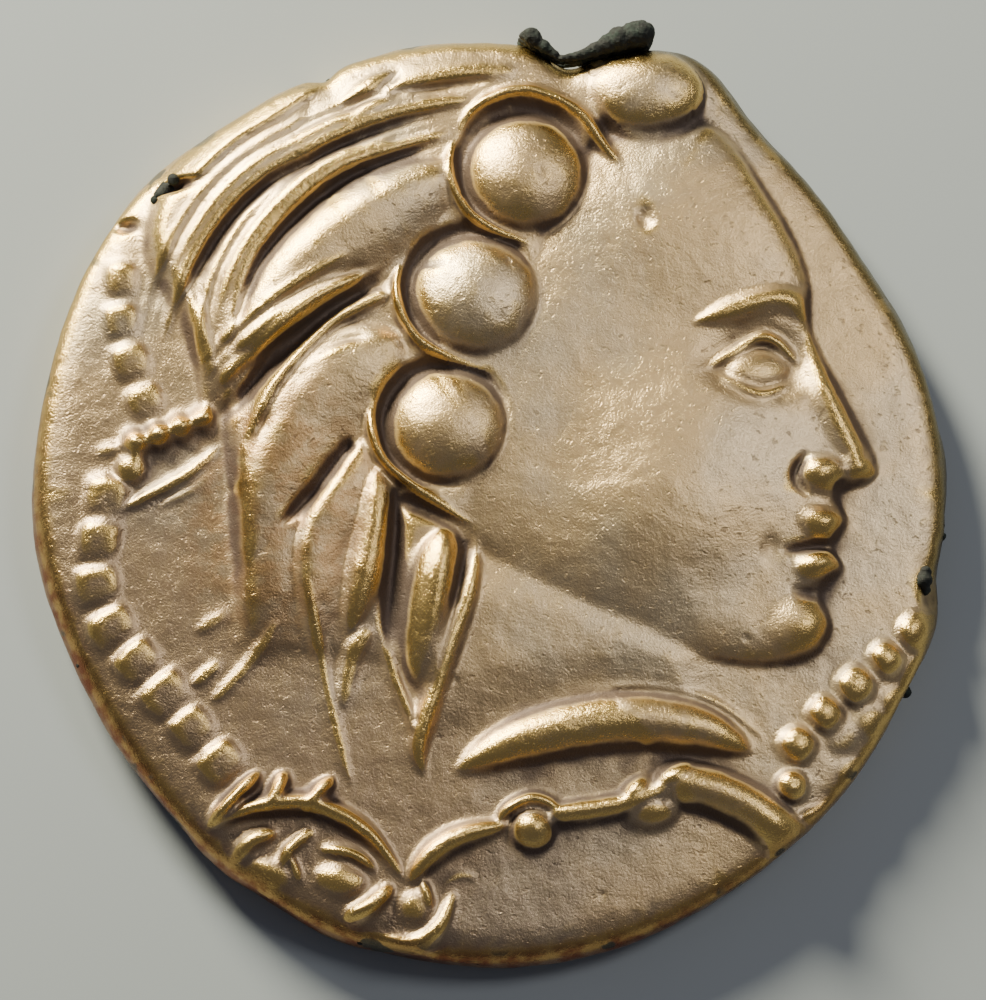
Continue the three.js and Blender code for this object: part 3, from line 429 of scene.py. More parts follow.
scroll = [
    stroke([(-6.7, -7.2), (-5.75, -6.72), (-4.9, -6.58), (-4.1, -6.65), (-3.0, -7.25), (-2.1, -8.35)],
           0.3, 0.42, fullness=1.2),
    stroke([(-6.6, -7.1), (-6.0, -6.45), (-5.4, -5.85)], 0.24, 0.5),
    stroke([(-5.35, -6.85), (-5.05, -6.35), (-4.85, -5.85)], 0.26, 0.52),
    stroke([(-4.5, -6.85), (-4.15, -6.4), (-3.75, -6.0)], 0.26, 0.52),
    stroke([(-6.0, -7.85), (-5.6, -7.4), (-5.0, -7.2)], 0.3, 0.28),
    stroke([(-4.9, -8.0), (-4.72, -7.6), (-4.15, -7.15)], 0.22, 0.34, steep=0.5),
    stroke([(-4.75, -7.7), (-4.5, -8.3)], 0.16, 0.2),
    stroke([(-4.1, -7.62), (-3.4, -7.72), (-2.8, -8.05)], 0.22, 0.34, steep=0.5),
    boss((-3.6, -8.28), (0.66, 0.42), 0.24, turn=-12, fullness=0.8),
    boss((-5.15, -8.1), (0.85, 0.46), 0.2, turn=-20),
    stroke([(-3.55, -9.12), (-3.0, -8.88), (-2.4, -8.4)], 0.26, 0.4, fullness=1.4),
    boss((-1.9, -8.86), (0.5, 0.46), 0.2, fullness=0.9),
    stroke([(-1.78, -8.25), (-1.58, -8.95)], 0.16, 0.26),
    stroke([(-3.1, -9.42), (-2.5, -9.6), (-1.95, -9.68), (-1.5, -9.42), (-1.22, -8.98), (-1.02, -8.45)],
           0.25, 0.3, fullness=1.4),
]

tie = [  # the ends of the hair, drawn back across the string
    stroke([(-6.5, 2.1), (-7.3, 1.85), (-8.2, 1.5), (-9.3, 1.3)], 0.3, 0.14),
    stroke([(-6.3, 1.5), (-7.1, 0.82), (-8.0, 0.34), (-8.6, 0.0)], 0.2, 0.2, steep=0.7),
    stroke([(-6.4, 0.9), (-7.0, 0.45), (-7.7, 0.1)], 0.14, 0.07),
    boss((-8.38, 0.95), (0.38, 0.4), 0.26, fullness=0.7),
]

rightEnd = [
    boss((6.56, -6.23), (0.4, 0.38), 0.34, fullness=0.8),
    boss((8.0, -5.95), (0.5, 0.42), 0.16),
    stroke([(6.7, -6.95), (7.3, -6.8), (8.2, -6.3)], 0.26, 0.2),
]

chips = [
    boss((10.0, -1.95), (0.5, 0.62), 0.5),
    boss((10.25, -0.8), (0.28, 0.4), 0.3),
    boss((-7.45, 7.4), (0.62, 0.2), 0.5, turn=12),
    boss((-8.6, 6.55), (0.4, 0.22), 0.35),
    boss((1.6, 10.6), (0.75, 0.45), 0.35),
    boss((3.28, 6.62), (0.3, 0.32), 0.16),
    boss((0.85, 7.55), (0.1, 0.12), 0.1),
    boss((-1.62, 5.5), (0.36, 0.12), 0.14),
    boss((-3.5, 1.35), (0.22, 0.2), 0.14),
]

horse = [  # reverse: a striding horse, plain
    stroke([(-3.4, 1.3), (-1.2, 0.3), (1.6, 0.3), (3.6, 1.1)], 1.2, 0.27, blunt=True, fullness=1),
    stroke([(-3.0, 1.2), (-4.2, 3.0), (-4.4, 4.7)], 0.8, 0.24, blunt=True),
    stroke([(-4.3, 4.9), (-5.6, 4.7), (-6.5, 3.8)], 0.5, 0.24, blunt=True),
    stroke([(-3.4, 0.6), (-5.2, -1.2), (-4.4, -3.4)], 0.42, 0.22, blunt=True),
    stroke([(-2.6, 0.3), (-2.7, -2.2), (-1.6, -4.2)], 0.42, 0.22, blunt=True),
    stroke([(3.2, 0.6), (2.4, -1.8), (1.4, -4.0)], 0.42, 0.22, blunt=True),
    stroke([(3.9, 0.9), (5.3, -1.2), (4.6, -3.6)], 0.42, 0.22, blunt=True),
    stroke([(4.3, 1.6), (5.9, 2.9), (6.8, 0.9)], 0.34, 0.22),
    boss((1.2, 4.2), (0.95, 0.95), 0.24, fullness=0.7),
    *[boss(knee, (0.6, 0.55), 0.26) for knee in ((-5.1, -1.2), (-2.75, -2.0), (2.4, -1.7), (5.2, -1.2))],
]


strike = {
    "shift": (0.08, -0.4),  # the die was struck a little off the middle of the flan
    "dieHeight": 5 * mm,  # the bead trees look down on the face from here
    "reverseKeep": 0.15,  # share of the dish's depth that its pellets leave under them
}


def obverseHeight(x, y, share):
    x, y = x - strike["shift"][0], y - strike["shift"][1]
    relief = filletMax(neck["height"] * smooth(neckDepth(x, y) / neck["fade"]), faceRelief(x, y))
    relief = filletMax(relief, hairRelief(x, y))
    relief += highest(crests, x, y) + highest(strands, x, y) + highest(wisps, x, y)
    relief = withCurls(relief, x, y)
    relief = filletMax(relief, highest(lids, x, y))
    relief = filletMax(relief, highest(collar, x, y), 0.05)
    relief = filletMax(relief, highest(scroll, x, y), 0.05)
    relief += highest(tie, x, y) + highest(rightEnd, x, y) - highest(chips, x, y)
    field = flan["faceHeight"] + flan["dome"] * (1 - share * share)
    drop = edgeDrop(share)
    return field - drop * (flan["faceHeight"] - flan["upperEdge"]) + relief * (1 - 0.5 * drop)


def reverseHeight(x, y, share):
    dish = flan["dishDepth"] * smooth((flan["dishShare"] - share) / 0.3)
    hollow = np.maximum(dish - highest(horse, x, y), dish * strike["reverseKeep"])
    return edgeDrop(share) * flan["underEdge"] + hollow


# the coin's mesh: rings of triangles over each face, and rows round the edge

def ringSheet(rings):  # unit disc: ring r holds 6r points
    first = lambda ring: 1 + 3 * ring * (ring - 1)
    share, angle, triangles = [np.zeros(1)], [np.zeros(1)], []
    for ring in range(1, rings + 1):
        step = np.arange(6 * ring)
        share.append(np.full(step.shape, ring / rings))
        angle.append(math.pi * step / (3 * ring))
        inner = step - step // ring
        innerCount = max(6 * (ring - 1), 1)
        innerFirst = first(ring - 1) if ring > 1 else 0
        outerNext = first(ring) + (step + 1) % (6 * ring)
        triangles.append(np.stack([first(ring) + step, outerNext, innerFirst + inner % innerCount], 1))
        between = step % ring > 0
        triangles.append(np.stack([innerFirst + inner % innerCount, innerFirst + (inner - 1) % innerCount,
                                   first(ring) + step], 1)[between])
    return np.concatenate(share), np.concatenate(angle), np.concatenate(triangles)


def ovalise(piece):
    away = math.radians(flan["ovalTurn"])
    along = Vector((-math.sin(away), -math.cos(away), 0))
    piece.data.transform(Matrix.Scale(flan["oval"], 4, along))


def meshOf(name, points, triangles, attributes):
    mesh = bpy.data.meshes.new(name)
    mesh.from_pydata((points * mm).tolist(), [], triangles.tolist())
    mesh.polygons.foreach_set("use_smooth", np.ones(len(mesh.polygons), bool))
    for label, values in attributes.items():
        mesh.attributes.new(label, "FLOAT", "POINT").data.foreach_set("value", values.astype(np.float32))
    piece = bpy.data.objects.new(name, mesh)
    bpy.context.scene.collection.objects.link(piece)
    return piece


def strikeBlank():
    sheets = []
    for rings, heightAt in ((flan["obverseRings"], obverseHeight), (flan["reverseRings"], reverseHeight)):
        share, angle, triangles = ringSheet(rings)
        reach = share * flanRadius(angle)
        x, y = reach * np.cos(angle), reach * np.sin(angle)
        sheets.append((np.stack([x, y, heightAt(x, y, share)], 1), triangles, share))
    (top, topFaces, topShare), (under, underFaces, underShare) = sheets
    count = 6 * flan["obverseRings"]
    arris = top[-count:]
    angle = np.arctan2(arris[:, 1], arris[:, 0])
    points, faces = [top], [topFaces]
    above = len(top) - count + np.arange(count)
    for row in range(1, flan["sideRows"] + 1):  # the rows swell out a little and down to the lower arris
        down = row / (flan["sideRows"] + 1)
        bulge = flan["hammerMarks"] * math.sin(math.pi * down) * np.sin(7 * angle + 5 * np.sin(3 * angle))
        low = arris.copy()
        swell = flan["edgeSwell"] * math.sin(math.pi * down)
        low[:, :2] *= (1 + bulge / flan["radius"] + swell)[:, None]
        low[:, 2] = arris[:, 2] * (1 - down) + flan["underEdge"] * down
        below = sum(map(len, points)) + np.arange(count)
        points.append(low)
        faces.append(np.stack([above, below, np.roll(below, -1)], 1))
        faces.append(np.stack([above, np.roll(below, -1), np.roll(above, -1)], 1))
        above = below
    start = sum(map(len, points))
    fewer = 6 * flan["reverseRings"]
    rim = start + len(under) - fewer + np.arange(fewer)
    points.append(under)
    faces.append(underFaces[:, ::-1] + start)
    i = j = 0
    while i < count or j < fewer:  # zip the last row to the coarser rim of the reverse
        if j >= fewer or (i < count and (i + 1) / count <= (j + 1) / fewer):
            faces.append(np.array([[above[i % count], rim[j % fewer], above[(i + 1) % count]]]))
            i += 1
        else:
            faces.append(np.array([[above[i % count], rim[j % fewer], rim[(j + 1) % fewer]]]))
            j += 1
    everything = np.vstack(points)
    middle = len(everything) - len(top) - len(under)
    side = np.concatenate([smooth((topShare - 0.955) / 0.045), np.ones(middle),
                           smooth((underShare - 0.95) / 0.05)])
    upper = np.concatenate([np.ones(len(top)), np.zeros(middle), np.full(len(under), -1.0)])
    return meshOf("goldCoin", everything, np.vstack(faces), {"side": side, "upper": upper})


print("striking the blank")
coin = strikeBlank()
print("coin", len(coin.data.polygons), "triangles")


# geometry trees

def geometryTree(name, inputs):
    tree = bpy.data.node_groups.new(name, "GeometryNodeTree")
    kinds = {float: "NodeSocketFloat", int: "NodeSocketInt"}
    tree.interface.new_socket("Geometry", in_out="INPUT", socket_type="NodeSocketGeometry")
    for label, value in inputs.items():
        kind = value if isinstance(value, str) else kinds[type(value)]
        socket = tree.interface.new_socket(label, in_out="INPUT", socket_type=kind)
        if not isinstance(value, str):
            socket.default_value = value
    tree.interface.new_socket("Geometry", in_out="OUTPUT", socket_type="NodeSocketGeometry")
    nodes = Nodes(tree)
    group = nodes.add("NodeGroupInput").socket.node
    given = {socket.name: Wire(nodes, socket) for socket in group.outputs if socket.name}
    return tree, nodes, given


def closeTree(nodes, geometry, material):
    real = nodes.add("GeometryNodeRealizeInstances", None, {"Geometry": geometry})
    coated = nodes.add("GeometryNodeSetMaterial", None, {"Geometry": real, "Material": material})
    nodes.add("NodeGroupOutput", None, {"Geometry": coated})


def runTrees(piece, steps):
    for tree, values in steps:
        modifier = piece.modifiers.new(tree.name, "NODES")
        modifier.node_group = tree
        names = {item.name: item.identifier for item in tree.interface.items_tree if item.in_out == "INPUT"}
        for label, value in values.items():
            modifier[names[label]] = value
    view = bpy.context.evaluated_depsgraph_get()
    made = bpy.data.meshes.new_from_object(piece.evaluated_get(view), preserve_all_data_layers=True,
                                           depsgraph=view)
    piece.modifiers.clear()
    piece.data = made
    made.name = piece.name


def beadTree():
    # pellets at even steps along a path are cut into the die: each point of the face is raised to
    # the pellet that stands over it
    tree, nodes, given = geometryTree("stringOfBeads", {
        "Path": "NodeSocketObject", "Spacing": 0.95 * mm, "Across": 0.45 * mm, "Along": 0.4 * mm,
        "Height": 0.3 * mm, "Blockiness": 0.3, "Lean": 0.0, "Unevenness": 0.12, "Face": 1.0, "Seed": 3,
        "Material": "NodeSocketMaterial",
    })
    path = nodes.add("GeometryNodeObjectInfo", None, {"Object": given["Path"]}, "Geometry")
    curve = nodes.add("GeometryNodeMeshToCurve", None, {"Mesh": path})
    points = nodes.add("GeometryNodeCurveToPoints", {"mode": "LENGTH"},
                       {"Curve": curve, "Length": given["Spacing"]})
    size = nodes.add("ShaderNodeCombineXYZ", None,
                     {"X": given["Along"], "Y": given["Across"], "Z": given["Height"]})
    spread = nodes.add("FunctionNodeRandomValue", {"data_type": "FLOAT_VECTOR"},
                       {0: (-1.0, -1.0, -1.0), 1: (1.0, 1.0, 1.0), "Seed": given["Seed"]})
    uneven = nodes.scaled(spread, given["Unevenness"])
    scale = nodes.add("ShaderNodeVectorMath", {"operation": "MULTIPLY_ADD"}, {0: size, 1: uneven, 2: size})
    turn = nodes.add("FunctionNodeAlignRotationToVector", {"axis": "X"},
                     {"Vector": nodes.other(points, "Tangent")})
    block = nodes.add("GeometryNodeMeshCube", None, {"Size": (2.0, 2.0, 2.0), "Vertices X": 12,
                                                     "Vertices Y": 12, "Vertices Z": 12})
    corner = nodes.add("GeometryNodeInputPosition")
    ball = nodes.add("ShaderNodeVectorMath", {"operation": "NORMALIZE"}, {0: corner})
    rounded = nodes.add("ShaderNodeMix", {"data_type": "VECTOR"},
                        {0: given["Blockiness"], 4: ball, 5: corner}, 1)
    lean = nodes.add("ShaderNodeSeparateXYZ", None, {0: corner}) * given["Lean"]
    pellet = nodes.add("GeometryNodeSetPosition", None,
                       {"Geometry": block, "Position": rounded, "Offset": nodes.up(lean)})
    row = nodes.add("GeometryNodeInstanceOnPoints", None,
                    {"Points": points, "Instance": pellet, "Rotation": turn, "Scale": scale})
    die = nodes.add("GeometryNodeRealizeInstances", None, {"Geometry": row})

    place = nodes.add("ShaderNodeSeparateXYZ", None, {0: nodes.add("GeometryNodeInputPosition")})
    over = nodes.add("ShaderNodeCombineXYZ", None,
                     {"X": place, "Y": nodes.other(place, 1), "Z": strike["dieHeight"]})
    hit = nodes.add("GeometryNodeRaycast", None,
                    {"Target Geometry": die, "Source Position": over,
                     "Ray Direction": (0.0, 0.0, -1.0), "Ray Length": strike["dieHeight"]})
    top = nodes.add("ShaderNodeSeparateXYZ", None, {0: nodes.other(hit, "Hit Position")}, 2)
    lift = nodes.add("GeometryNodeSwitch", {"input_type": "FLOAT"}, {"Switch": hit, "True": top})
    soft = nodes.add("GeometryNodeBlurAttribute", {"data_type": "FLOAT"}, {0: lift, "Iterations": 2})
    # on the reverse, never down to the plane of its flat ring
    depth = (soft * given["Face"]).atLeast(nodes.other(place, 2) * (strike["reverseKeep"] - 1))
    struck = (nodes.named("upper") * given["Face"]).above(0.5) * depth
    raised = nodes.add("GeometryNodeSetPosition", None,
                       {"Geometry": given["Geometry"], "Offset": nodes.up(struck)})
    closeTree(nodes, raised, given["Material"])
    return tree


def wearTree():
    # the struck surface swells and dips a little, has pits, and remembers where it is hollow or proud
    tree, nodes, given = geometryTree("wornSurface", {
        "Swell": 0.028 * mm, "Swell Size": 0.8 * mm, "Grain": 0.011 * mm, "Grain Size": 0.24 * mm,
        "Pit Spacing": 1.1 * mm, "Pit Radius": 0.11 * mm, "Pit Depth": 0.05 * mm, "Pit Share": 0.3,
        "Softening": 0.7, "Soft Reach": 2, "Near Reach": 8, "Far Reach": 60, "Material": "NodeSocketMaterial",
    })
    place = nodes.add("GeometryNodeInputPosition")
    normal = nodes.add("GeometryNodeInputNormal")
    level = nodes.add("ShaderNodeSeparateXYZ", None, {0: place}, 2)

    def around(reach):
        return nodes.add("GeometryNodeBlurAttribute", {"data_type": "FLOAT"},
                         {0: level, "Iterations": given[reach]})

    def noise(size, detail, height):
        wave = nodes.add("ShaderNodeTexNoise", None,
                         {"Vector": place, "Scale": 1 / size, "Detail": detail, "Roughness": 0.55})
        return (wave - 0.5) * height * 2

    pits = nodes.add("ShaderNodeTexVoronoi", {"feature": "F1"},
                     {"Vector": place, "Scale": 1 / given["Pit Spacing"], "Randomness": 1.0}, "Distance")
    pick = nodes.add("ShaderNodeSeparateXYZ", None, {0: nodes.other(pits, "Color")})
    chosen = (given["Pit Share"] - pick).above(0.0)
    pit = (1 - pits.rise(0.0, given["Pit Radius"] / given["Pit Spacing"])) * chosen * given["Pit Depth"]
    upper = nodes.named("upper")
    height = noise(given["Swell Size"], 2.0, given["Swell"]) + noise(given["Grain Size"], 3.0, given["Grain"])
    flat = (upper + 0.5).rise(0.0, 0.5)  # the reverse keeps the flat ring that it rests on
    soft = (around("Soft Reach") - level) * given["Softening"] * upper.atLeast(0.0)
    worn = nodes.add("GeometryNodeSetPosition", None,
                     {"Geometry": given["Geometry"], "Offset": nodes.up(soft)})
    push = nodes.scaled(normal, (height - pit) * flat)
    worn = nodes.add("GeometryNodeSetPosition", None, {"Geometry": worn, "Offset": push})
    # steepness: the finish paints shade on steep flanks with it
    steepness = 1 - nodes.add("ShaderNodeSeparateXYZ", None, {0: nodes.add("GeometryNodeInputNormal")}, 2)
    for label, value in (("crest", (level - around("Near Reach")) / mm * upper),
                         ("hollow", (around("Far Reach") - level) / mm * upper),
                         ("steep", steepness * upper.atLeast(0.0))):
        worn = nodes.add("GeometryNodeStoreNamedAttribute", {"data_type": "FLOAT", "domain": "POINT"},
                         {"Geometry": worn, "Name": label, "Value": value})
    closeTree(nodes, worn, given["Material"])
    return tree


def dirtTree():
    # lumps on points, run together into one crust
    tree, nodes, given = geometryTree("hardDirt", {
        "Lump Spread": 0.3, "Voxel": 0.04 * mm, "Roughness": 0.05 * mm, "Roughness Size": 0.16 * mm,
        "Seed": 11, "Material": "NodeSocketMaterial",
    })
    points = nodes.add("GeometryNodeMeshToPoints", None, {"Mesh": given["Geometry"]})
    chance = nodes.add("FunctionNodeRandomValue", {"data_type": "FLOAT"}, {"Seed": given["Seed"]}, 1)
    size = nodes.named("lump") * (1 + (chance - 0.5) * given["Lump Spread"])
    ball = nodes.add("GeometryNodeMeshIcoSphere", None, {"Radius": 1.0, "Subdivisions": 3})
    lumps = nodes.add("GeometryNodeInstanceOnPoints", None,
                      {"Points": points, "Instance": ball, "Scale": size})
    whole = nodes.add("GeometryNodeRealizeInstances", None, {"Geometry": lumps})
    fog = nodes.add("GeometryNodeMeshToVolume", {"resolution_mode": "VOXEL_SIZE"},
                    {"Mesh": whole, "Voxel Size": given["Voxel"], "Density": 1.0,
                     "Interior Band Width": 0.2 * mm})
    crust = nodes.add("GeometryNodeVolumeToMesh", {"resolution_mode": "VOXEL_SIZE"},
                      {"Volume": fog, "Voxel Size": given["Voxel"], "Threshold": 0.1, "Adaptivity": 0.0})
    rough = nodes.add("ShaderNodeTexNoise", None,
                      {"Vector": nodes.add("GeometryNodeInputPosition"), "Scale": 1 / given["Roughness Size"],
                       "Detail": 4.0, "Roughness": 0.7}) - 0.5
    push = nodes.scaled(nodes.add("GeometryNodeInputNormal"), rough * 2 * given["Roughness"])
    crumbled = nodes.add("GeometryNodeSetPosition", None, {"Geometry": crust, "Offset": push})
    closeTree(nodes, crumbled, given["Material"])
    return tree


# finishes

def material(name):
    made = bpy.data.materials.new(name)
    made.use_nodes = True
    made.node_tree.nodes.clear()
    return made, Nodes(made.node_tree)


def mixColour(nodes, amount, a, b):
    return nodes.add("ShaderNodeMix", {"data_type": "RGBA"}, {0: amount, 6: a, 7: b}, 2)


def noiseAt(nodes, place, perMm, detail=2.0, roughness=0.5):
    return nodes.add("ShaderNodeTexNoise", None, {"Vector": place, "Scale": perMm / mm, "Detail": detail,
                                                  "Roughness": roughness})


wornGold = {
    "struck": (0.77, 0.55, 0.285, 1),  # the alloy
    "pale": (0.71, 0.595, 0.41, 1),  # silvery patches of the same alloy
    "bright": (0.86, 0.58, 0.16, 1),  # rubbed crests
    "shadedGold": (0.31, 0.22, 0.165, 1),  # painted shade, darker towards the lower left
    "warm": (0.46, 0.25, 0.09, 1),  # orange tarnish over the back hair
    "warmAt": (-4.9, -0.4),
    "warmReach": (3, 4),
    "tarnishAndShade": (0.06, 0.04, 0.04, 1),  # brown tarnish in the hollows and the pores, and painted shade on steep flanks
    "rust": (0.25, 0.09, 0.045, 1),  # reddish film round the lower left edge
    "darkEdge": (0.05, 0.055, 0.04, 1),  # darker round the upper right edge, and dark specks of dirt all along it
    "roughness": 0.33,
    "grain": 0.014 * mm,
    "perMm": {"cloud": 0.35, "mottle": 2.2, "grain": 18.0, "pores": 5.0, "specks": 1.4},  # noises
}


def goldFinish():
    made, nodes = material("wornGold")
    place = nodes.add("ShaderNodeTexCoord", None, None, "Object")
    x = nodes.add("ShaderNodeSeparateXYZ", None, {0: place})
    y = nodes.other(x, 1)
    hollow, crest, steep, side = (nodes.add("ShaderNodeAttribute", {"attribute_name": label}, None, "Fac")
                                  for label in ("hollow", "crest", "steep", "side"))
    perMm = wornGold["perMm"]
    cloud = noiseAt(nodes, place, perMm["cloud"], 3.0)
    mottle = noiseAt(nodes, place, perMm["mottle"], 4.0, 0.6)
    grain = noiseAt(nodes, place, perMm["grain"], 3.0, 0.7)
    pores = noiseAt(nodes, place, perMm["pores"], 2.0, 0.6).rise(0.6, 0.74)

    # where the surface is polished, tarnished, darkened by painted shade, orange, red at the edge, darker
    # round the upper right edge, and specked
    polish = crest.rise(0.005, 0.03)
    # tarnish in the hollows, and painted shade on steep flanks that damps the gold they reflect
    tarnishAndShade = (hollow + steep * 0.42 * (1 - side) + (mottle - 0.5) * 0.12 + (cloud - 0.5) * 0.1).rise(0.045, 0.2)
    tarnishAndShade = tarnishAndShade.atLeast(pores * 0.55 * (1 - polish))
    # painted shade: darker towards the lower left, with some random mottling
    shadeAndMottle = (x * -0.7 - y * 0.7).rise(0, 8 * mm) * 0.55 + mottle.rise(0.4, 0.65) * 0.1
    offX, offY = ((along - centre * mm) / (reach * mm)
                  for along, centre, reach in zip((x, y), wornGold["warmAt"], wornGold["warmReach"]))
    warmth = (1 - (offX * offX + offY * offY)).rise(0.0, 0.9) * mottle.rise(0.35, 0.6)
    rust = side * (x * -0.5 - y).rise(-2 * mm, 9 * mm) * (0.5 + mottle.rise(0.35, 0.65) * 0.5)
    # darker round the upper right edge
    darkEdge = side * (x + y * 0.6).rise(6 * mm, 10 * mm)
    specks = side * noiseAt(nodes, place, perMm["specks"], 2.0, 0.4).rise(0.61, 0.66)

    colour = mixColour(nodes, cloud.rise(0.45, 0.7) * 0.6, wornGold["struck"], wornGold["pale"])
    colour = mixColour(nodes, shadeAndMottle * (1 - polish), colour, wornGold["shadedGold"])
    colour = mixColour(nodes, polish * 0.75, colour, wornGold["bright"])
    colour = mixColour(nodes, warmth * 0.6, colour, wornGold["warm"])
    colour = mixColour(nodes, tarnishAndShade * 0.9 * (1 - polish * 0.8), colour, wornGold["tarnishAndShade"])
    colour = mixColour(nodes, rust, colour, wornGold["rust"])
    colour = mixColour(nodes, (darkEdge * 0.85).atLeast(specks * 0.9), colour, wornGold["darkEdge"])
    roughness = wornGold["roughness"] + tarnishAndShade * 0.2 + (grain - 0.5) * 0.2 - polish * 0.08
    bump = nodes.add("ShaderNodeBump", None, {"Strength": 1.0, "Distance": wornGold["grain"],
                                              "Height": grain + mottle * 0.8 - pores * 0.5})
    metallic = 1 - tarnishAndShade.atLeast(specks) * 0.5
    shader = nodes.add("ShaderNodeBsdfPrincipled", None, {
        "Base Color": colour, "Metallic": metallic, "Roughness": roughness, "Normal": bump})
    nodes.add("ShaderNodeOutputMaterial", None, {"Surface": shader})
    return made


hardDirt = {
    "dark": (0.005, 0.007, 0.006, 1),
    "green": (0.012, 0.024, 0.018, 1),
    "flecksPerMm": 3.0,
    "roughness": 0.7,
    "bump": 0.02 * mm,
}


def dirtFinish():
    made, nodes = material("hardDirt")
    place = nodes.add("ShaderNodeTexCoord", None, None, "Object")
    fleck = noiseAt(nodes, place, hardDirt["flecksPerMm"], 4.0, 0.7)
    colour = mixColour(nodes, fleck.rise(0.45, 0.7), hardDirt["dark"], hardDirt["green"])
    bump = nodes.add("ShaderNodeBump", None,
                     {"Strength": 1.0, "Distance": hardDirt["bump"], "Height": fleck})
    shader = nodes.add("ShaderNodeBsdfPrincipled", None, {
        "Base Color": colour, "Roughness": hardDirt["roughness"] + fleck * 0.2, "Normal": bump})
    nodes.add("ShaderNodeOutputMaterial", None, {"Surface": shader})
    return made


def pathObject(name, points, shift):  # a hidden line for the bead tree to follow
    line = curveThrough(points, steps=12) + np.array(shift)
    mesh = bpy.data.meshes.new(name)
    corners = np.column_stack([line, np.zeros(len(line))]) * mm
    mesh.from_pydata(corners.tolist(), [(i, i + 1) for i in range(len(line) - 1)], [])
    return bpy.data.objects.new(name, mesh)


strings = {  # points of each string, then spacing, across, along, height, blockiness, lean, unevenness, face
    "upperString": ([(-8.68, 5.25), (-8.62, 4.0), (-8.1, 2.45)], 0.87, 0.4, 0.42, 0.15, 0.4, -0.3, 0.1, 1),
    "lowerString": ([(-8.95, 0.22), (-9.14, -1.5), (-8.75, -2.7), (-7.7, -3.97), (-6.3, -5.7)],
                    0.94, 0.5, 0.48, 0.17, 0.45, -0.4, 0.12, 1),
    "tieString": ([(-6.8, 2.05), (-7.3, 1.85), (-8.3, 1.5)], 0.48, 0.3, 0.27, 0.3, 0.0, 0.0, 0.15, 1),
    "rightString": ([(9.46, -2.72), (8.69, -3.45), (8.03, -4.0), (7.4, -4.57), (6.72, -5.3)],
                    0.93, 0.42, 0.4, 0.29, 0.2, 0.1, 0.16, 1),
    "faintString": ([(9.4, -3.75), (8.6, -4.6), (7.75, -5.15)], 0.7, 0.3, 0.34, 0.1, 0.2, 0.0, 0.2, 1),
    "maneString": ([(-2.6, 2.2), (-3.3, 3.4), (-3.5, 4.8)], 0.66, 0.34, 0.3, 0.12, 0.2, 0.0, 0.1, -1),
    "reverseRing": ([(7.2 * math.cos(math.radians(a)), 7.2 * math.sin(math.radians(a)))
                     for a in range(0, 361, 30)], 1.506, 0.34, 0.34, 0.1, 0.1, 0.0, 0.1, -1),
}


print("stringing the beads and wearing the surface")
gold = goldFinish()
beads, wear = beadTree(), wearTree()
steps = []
for label, (points, spacing, across, along, height, blocky, lean, uneven, side) in strings.items():
    path = pathObject(label, points, strike["shift"] if side > 0 else (0, 0))
    steps.append((beads, {"Path": path, "Spacing": spacing * mm, "Across": across * mm, "Along": along * mm,
                          "Height": height * mm, "Blockiness": blocky, "Lean": lean, "Unevenness": uneven,
                          "Face": float(side), "Seed": len(steps), "Material": gold}))
runTrees(coin, steps + [(wear, {"Material": gold})])
ovalise(coin)
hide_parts("coin")
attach(coin, "root")


# hard dirt in the notch at the crown, and crumbs of it on the edge

dirt = {
    "ridge": [(1.45, 10.0, 0.08), (1.93, 10.08, 0.13), (2.4, 10.28, 0.2), (2.8, 10.46, 0.27),
              (3.2, 10.58, 0.31), (3.46, 10.62, 0.28)],
    "tuft": [(0.56, 10.52, 0.1), (0.76, 10.52, 0.2), (1.06, 10.28, 0.16), (1.45, 10.0, 0.08)],
    "crumbs": [  # degrees round from +X, distance in from the edge, radius
        (49.5, 0.0, 0.12), (41, 0.0, 0.06), (61, 0.0, 0.07), (-3.6, 0.05, 0.12), (-5.0, 0.0, 0.13),
        (-10.4, 0.21, 0.15), (-11.4, 0.23, 0.2), (-12.4, 0.21, 0.16), (-25.3, -0.05, 0.14), (-72.5, 0.0, 0.1),
        (-92.3, 0.0, 0.1), (-107, 0.0, 0.12), (139.4, 0.36, 0.13), (138.3, 0.34, 0.18), (137.2, 0.32, 0.2),
        (136.1, 0.32, 0.17), (112, 0.0, 0.09), (99, 0.0, 0.08), (-158, 0.0, 0.1), (-150, 0.0, 0.08),
        (142, 0.05, 0.1)],
    "height": 1.3,
    "spacing": 0.08,
}


def dirtPoints():
    spots = []
    for chain in (dirt["ridge"], dirt["tuft"]):
        for (ax, ay, ar), (bx, by, br) in zip(chain, chain[1:]):
            count = max(int(math.hypot(bx - ax, by - ay) / dirt["spacing"]), 1)
            for i in range(count):
                t = i / count
                radius = ar + (br - ar) * t
                for level in (-0.3, 0.0, 0.3):
                    spots.append((ax + (bx - ax) * t, ay + (by - ay) * t, dirt["height"] + level, radius))
    for degrees, inset, radius in dirt["crumbs"]:
        angle = math.radians(degrees)
        edge = float(flanRadius(angle))
        reach = edge - inset - 0.3 * radius
        x, y = reach * math.cos(angle), reach * math.sin(angle)
        top = obverseHeight(np.array([x]), np.array([y]), np.array([reach / edge]))[0]
        spots.append((x, y, top - (0 if inset > 0.2 else 0.2), radius))
    return np.array(spots)


print("caking the dirt")
spots = dirtPoints()
crust = meshOf("notchDirt", spots[:, :3], np.zeros((0, 3), int), {"lump": spots[:, 3] * mm})
runTrees(crust, [(dirtTree(), {"Material": dirtFinish()})])
ovalise(crust)
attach(crust, "root")


# floor, light and camera

middle = (cadLow + cadHigh) / 2
span = max(cadHigh.x - cadLow.x, cadHigh.y - cadLow.y)

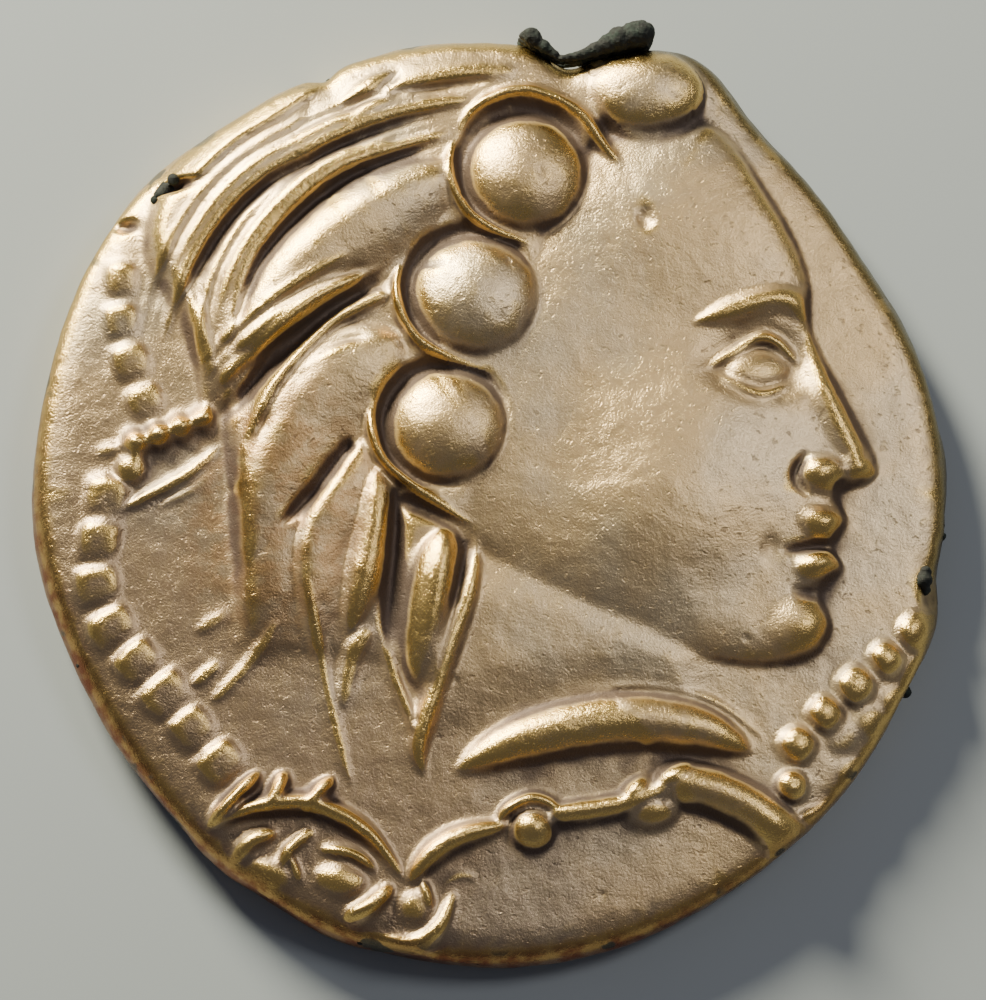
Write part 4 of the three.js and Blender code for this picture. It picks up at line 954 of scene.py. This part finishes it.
studio = {
    "floorReach": 12,  # in spans of the coin
    "floorDrop": 0.02,  # mm below the coin, so that the two never share a plane
    "floorColour": (0.34, 0.38, 0.405, 1),
    "floorPatches": (0.325, 0.36, 0.385, 1),
    "patchesPerMm": 0.08,
    "floorRoughness": 0.8,
    "sky": (0.44, 0.445, 0.52, 1),
    "skyStrength": 0.25,
    "lights": [  # direction from the coin, distance and size in spans, watts, colour
        ((-0.5, 0.76, 0.38), 6, 2.0, 0.62, (1.0, 0.93, 0.71)),
        ((0.62, 0.3, 1.0), 7, 2.4, 0.055, (1.0, 0.97, 0.94)),
    ],
}


def floorFinish():
    made, nodes = material("paleFloor")
    place = nodes.add("ShaderNodeTexCoord", None, None, "Object")
    tone = noiseAt(nodes, place, studio["patchesPerMm"], 2.0)
    colour = mixColour(nodes, tone * 0.3, studio["floorColour"], studio["floorPatches"])
    shader = nodes.add("ShaderNodeBsdfPrincipled", None,
                       {"Base Color": colour, "Roughness": studio["floorRoughness"]})
    nodes.add("ShaderNodeOutputMaterial", None, {"Surface": shader})
    return made


def setStage():
    reach = studio["floorReach"] * span / mm
    corners = np.array([(x * reach, y * reach, -studio["floorDrop"])
                        for x, y in ((-1, -1), (1, -1), (1, 1), (-1, 1))])
    floor = meshOf("floor", corners, np.array([(0, 1, 2, 3)]), {})
    floor.data.materials.append(floorFinish())
    world = bpy.data.worlds.new("studio")
    bpy.context.scene.world = world
    world.use_nodes = True
    background = world.node_tree.nodes["Background"]
    background.inputs["Color"].default_value = studio["sky"]
    background.inputs["Strength"].default_value = studio["skyStrength"]
    for number, (direction, distance, size, watts, colour) in enumerate(studio["lights"]):
        data = bpy.data.lights.new(f"softbox{number}", "AREA")
        data.shape, data.size, data.energy, data.color = "DISK", size * span, watts, colour
        light = bpy.data.objects.new(data.name, data)
        away = Vector(direction).normalized()
        turn = away.to_track_quat("Z", "Y").to_matrix().to_4x4()
        light.matrix_world = Matrix.Translation(middle + away * distance * span) @ turn
        bpy.context.scene.collection.objects.link(light)


camera = {
    "azimuth": -20,  # degrees
    "elevation": 77,
    "roll": -0.5,
    "lens": 200,
    "sensor": 36,
    "frameWidth": 1.0275,  # in spans of the coin
    "shift": (-0.0005, -0.0167),  # in widths of the picture
}


def setCamera():
    azimuth, elevation = math.radians(camera["azimuth"]), math.radians(camera["elevation"])
    back = Vector((math.sin(azimuth) * math.cos(elevation), -math.cos(azimuth) * math.cos(elevation),
                   math.sin(elevation)))
    up = (Vector((0, 1, 0)) - back * back.y).normalized()  # the head stays upright in the frame
    up.rotate(Quaternion(back, math.radians(camera["roll"])))
    right = up.cross(back)
    turn = Matrix((right, up, back)).transposed().to_4x4()
    data = bpy.data.cameras.new("camera")
    data.lens, data.sensor_width, data.sensor_fit = camera["lens"], camera["sensor"], "HORIZONTAL"
    data.shift_x, data.shift_y = camera["shift"]
    data.clip_start, data.clip_end = 2 * mm, 10
    distance = camera["frameWidth"] * span * camera["lens"] / camera["sensor"]
    eye = bpy.data.objects.new("camera", data)
    eye.matrix_world = Matrix.Translation(middle + back * distance) @ turn
    bpy.context.scene.collection.objects.link(eye)
    bpy.context.scene.camera = eye


print("setting the stage")
setStage()
setCamera()
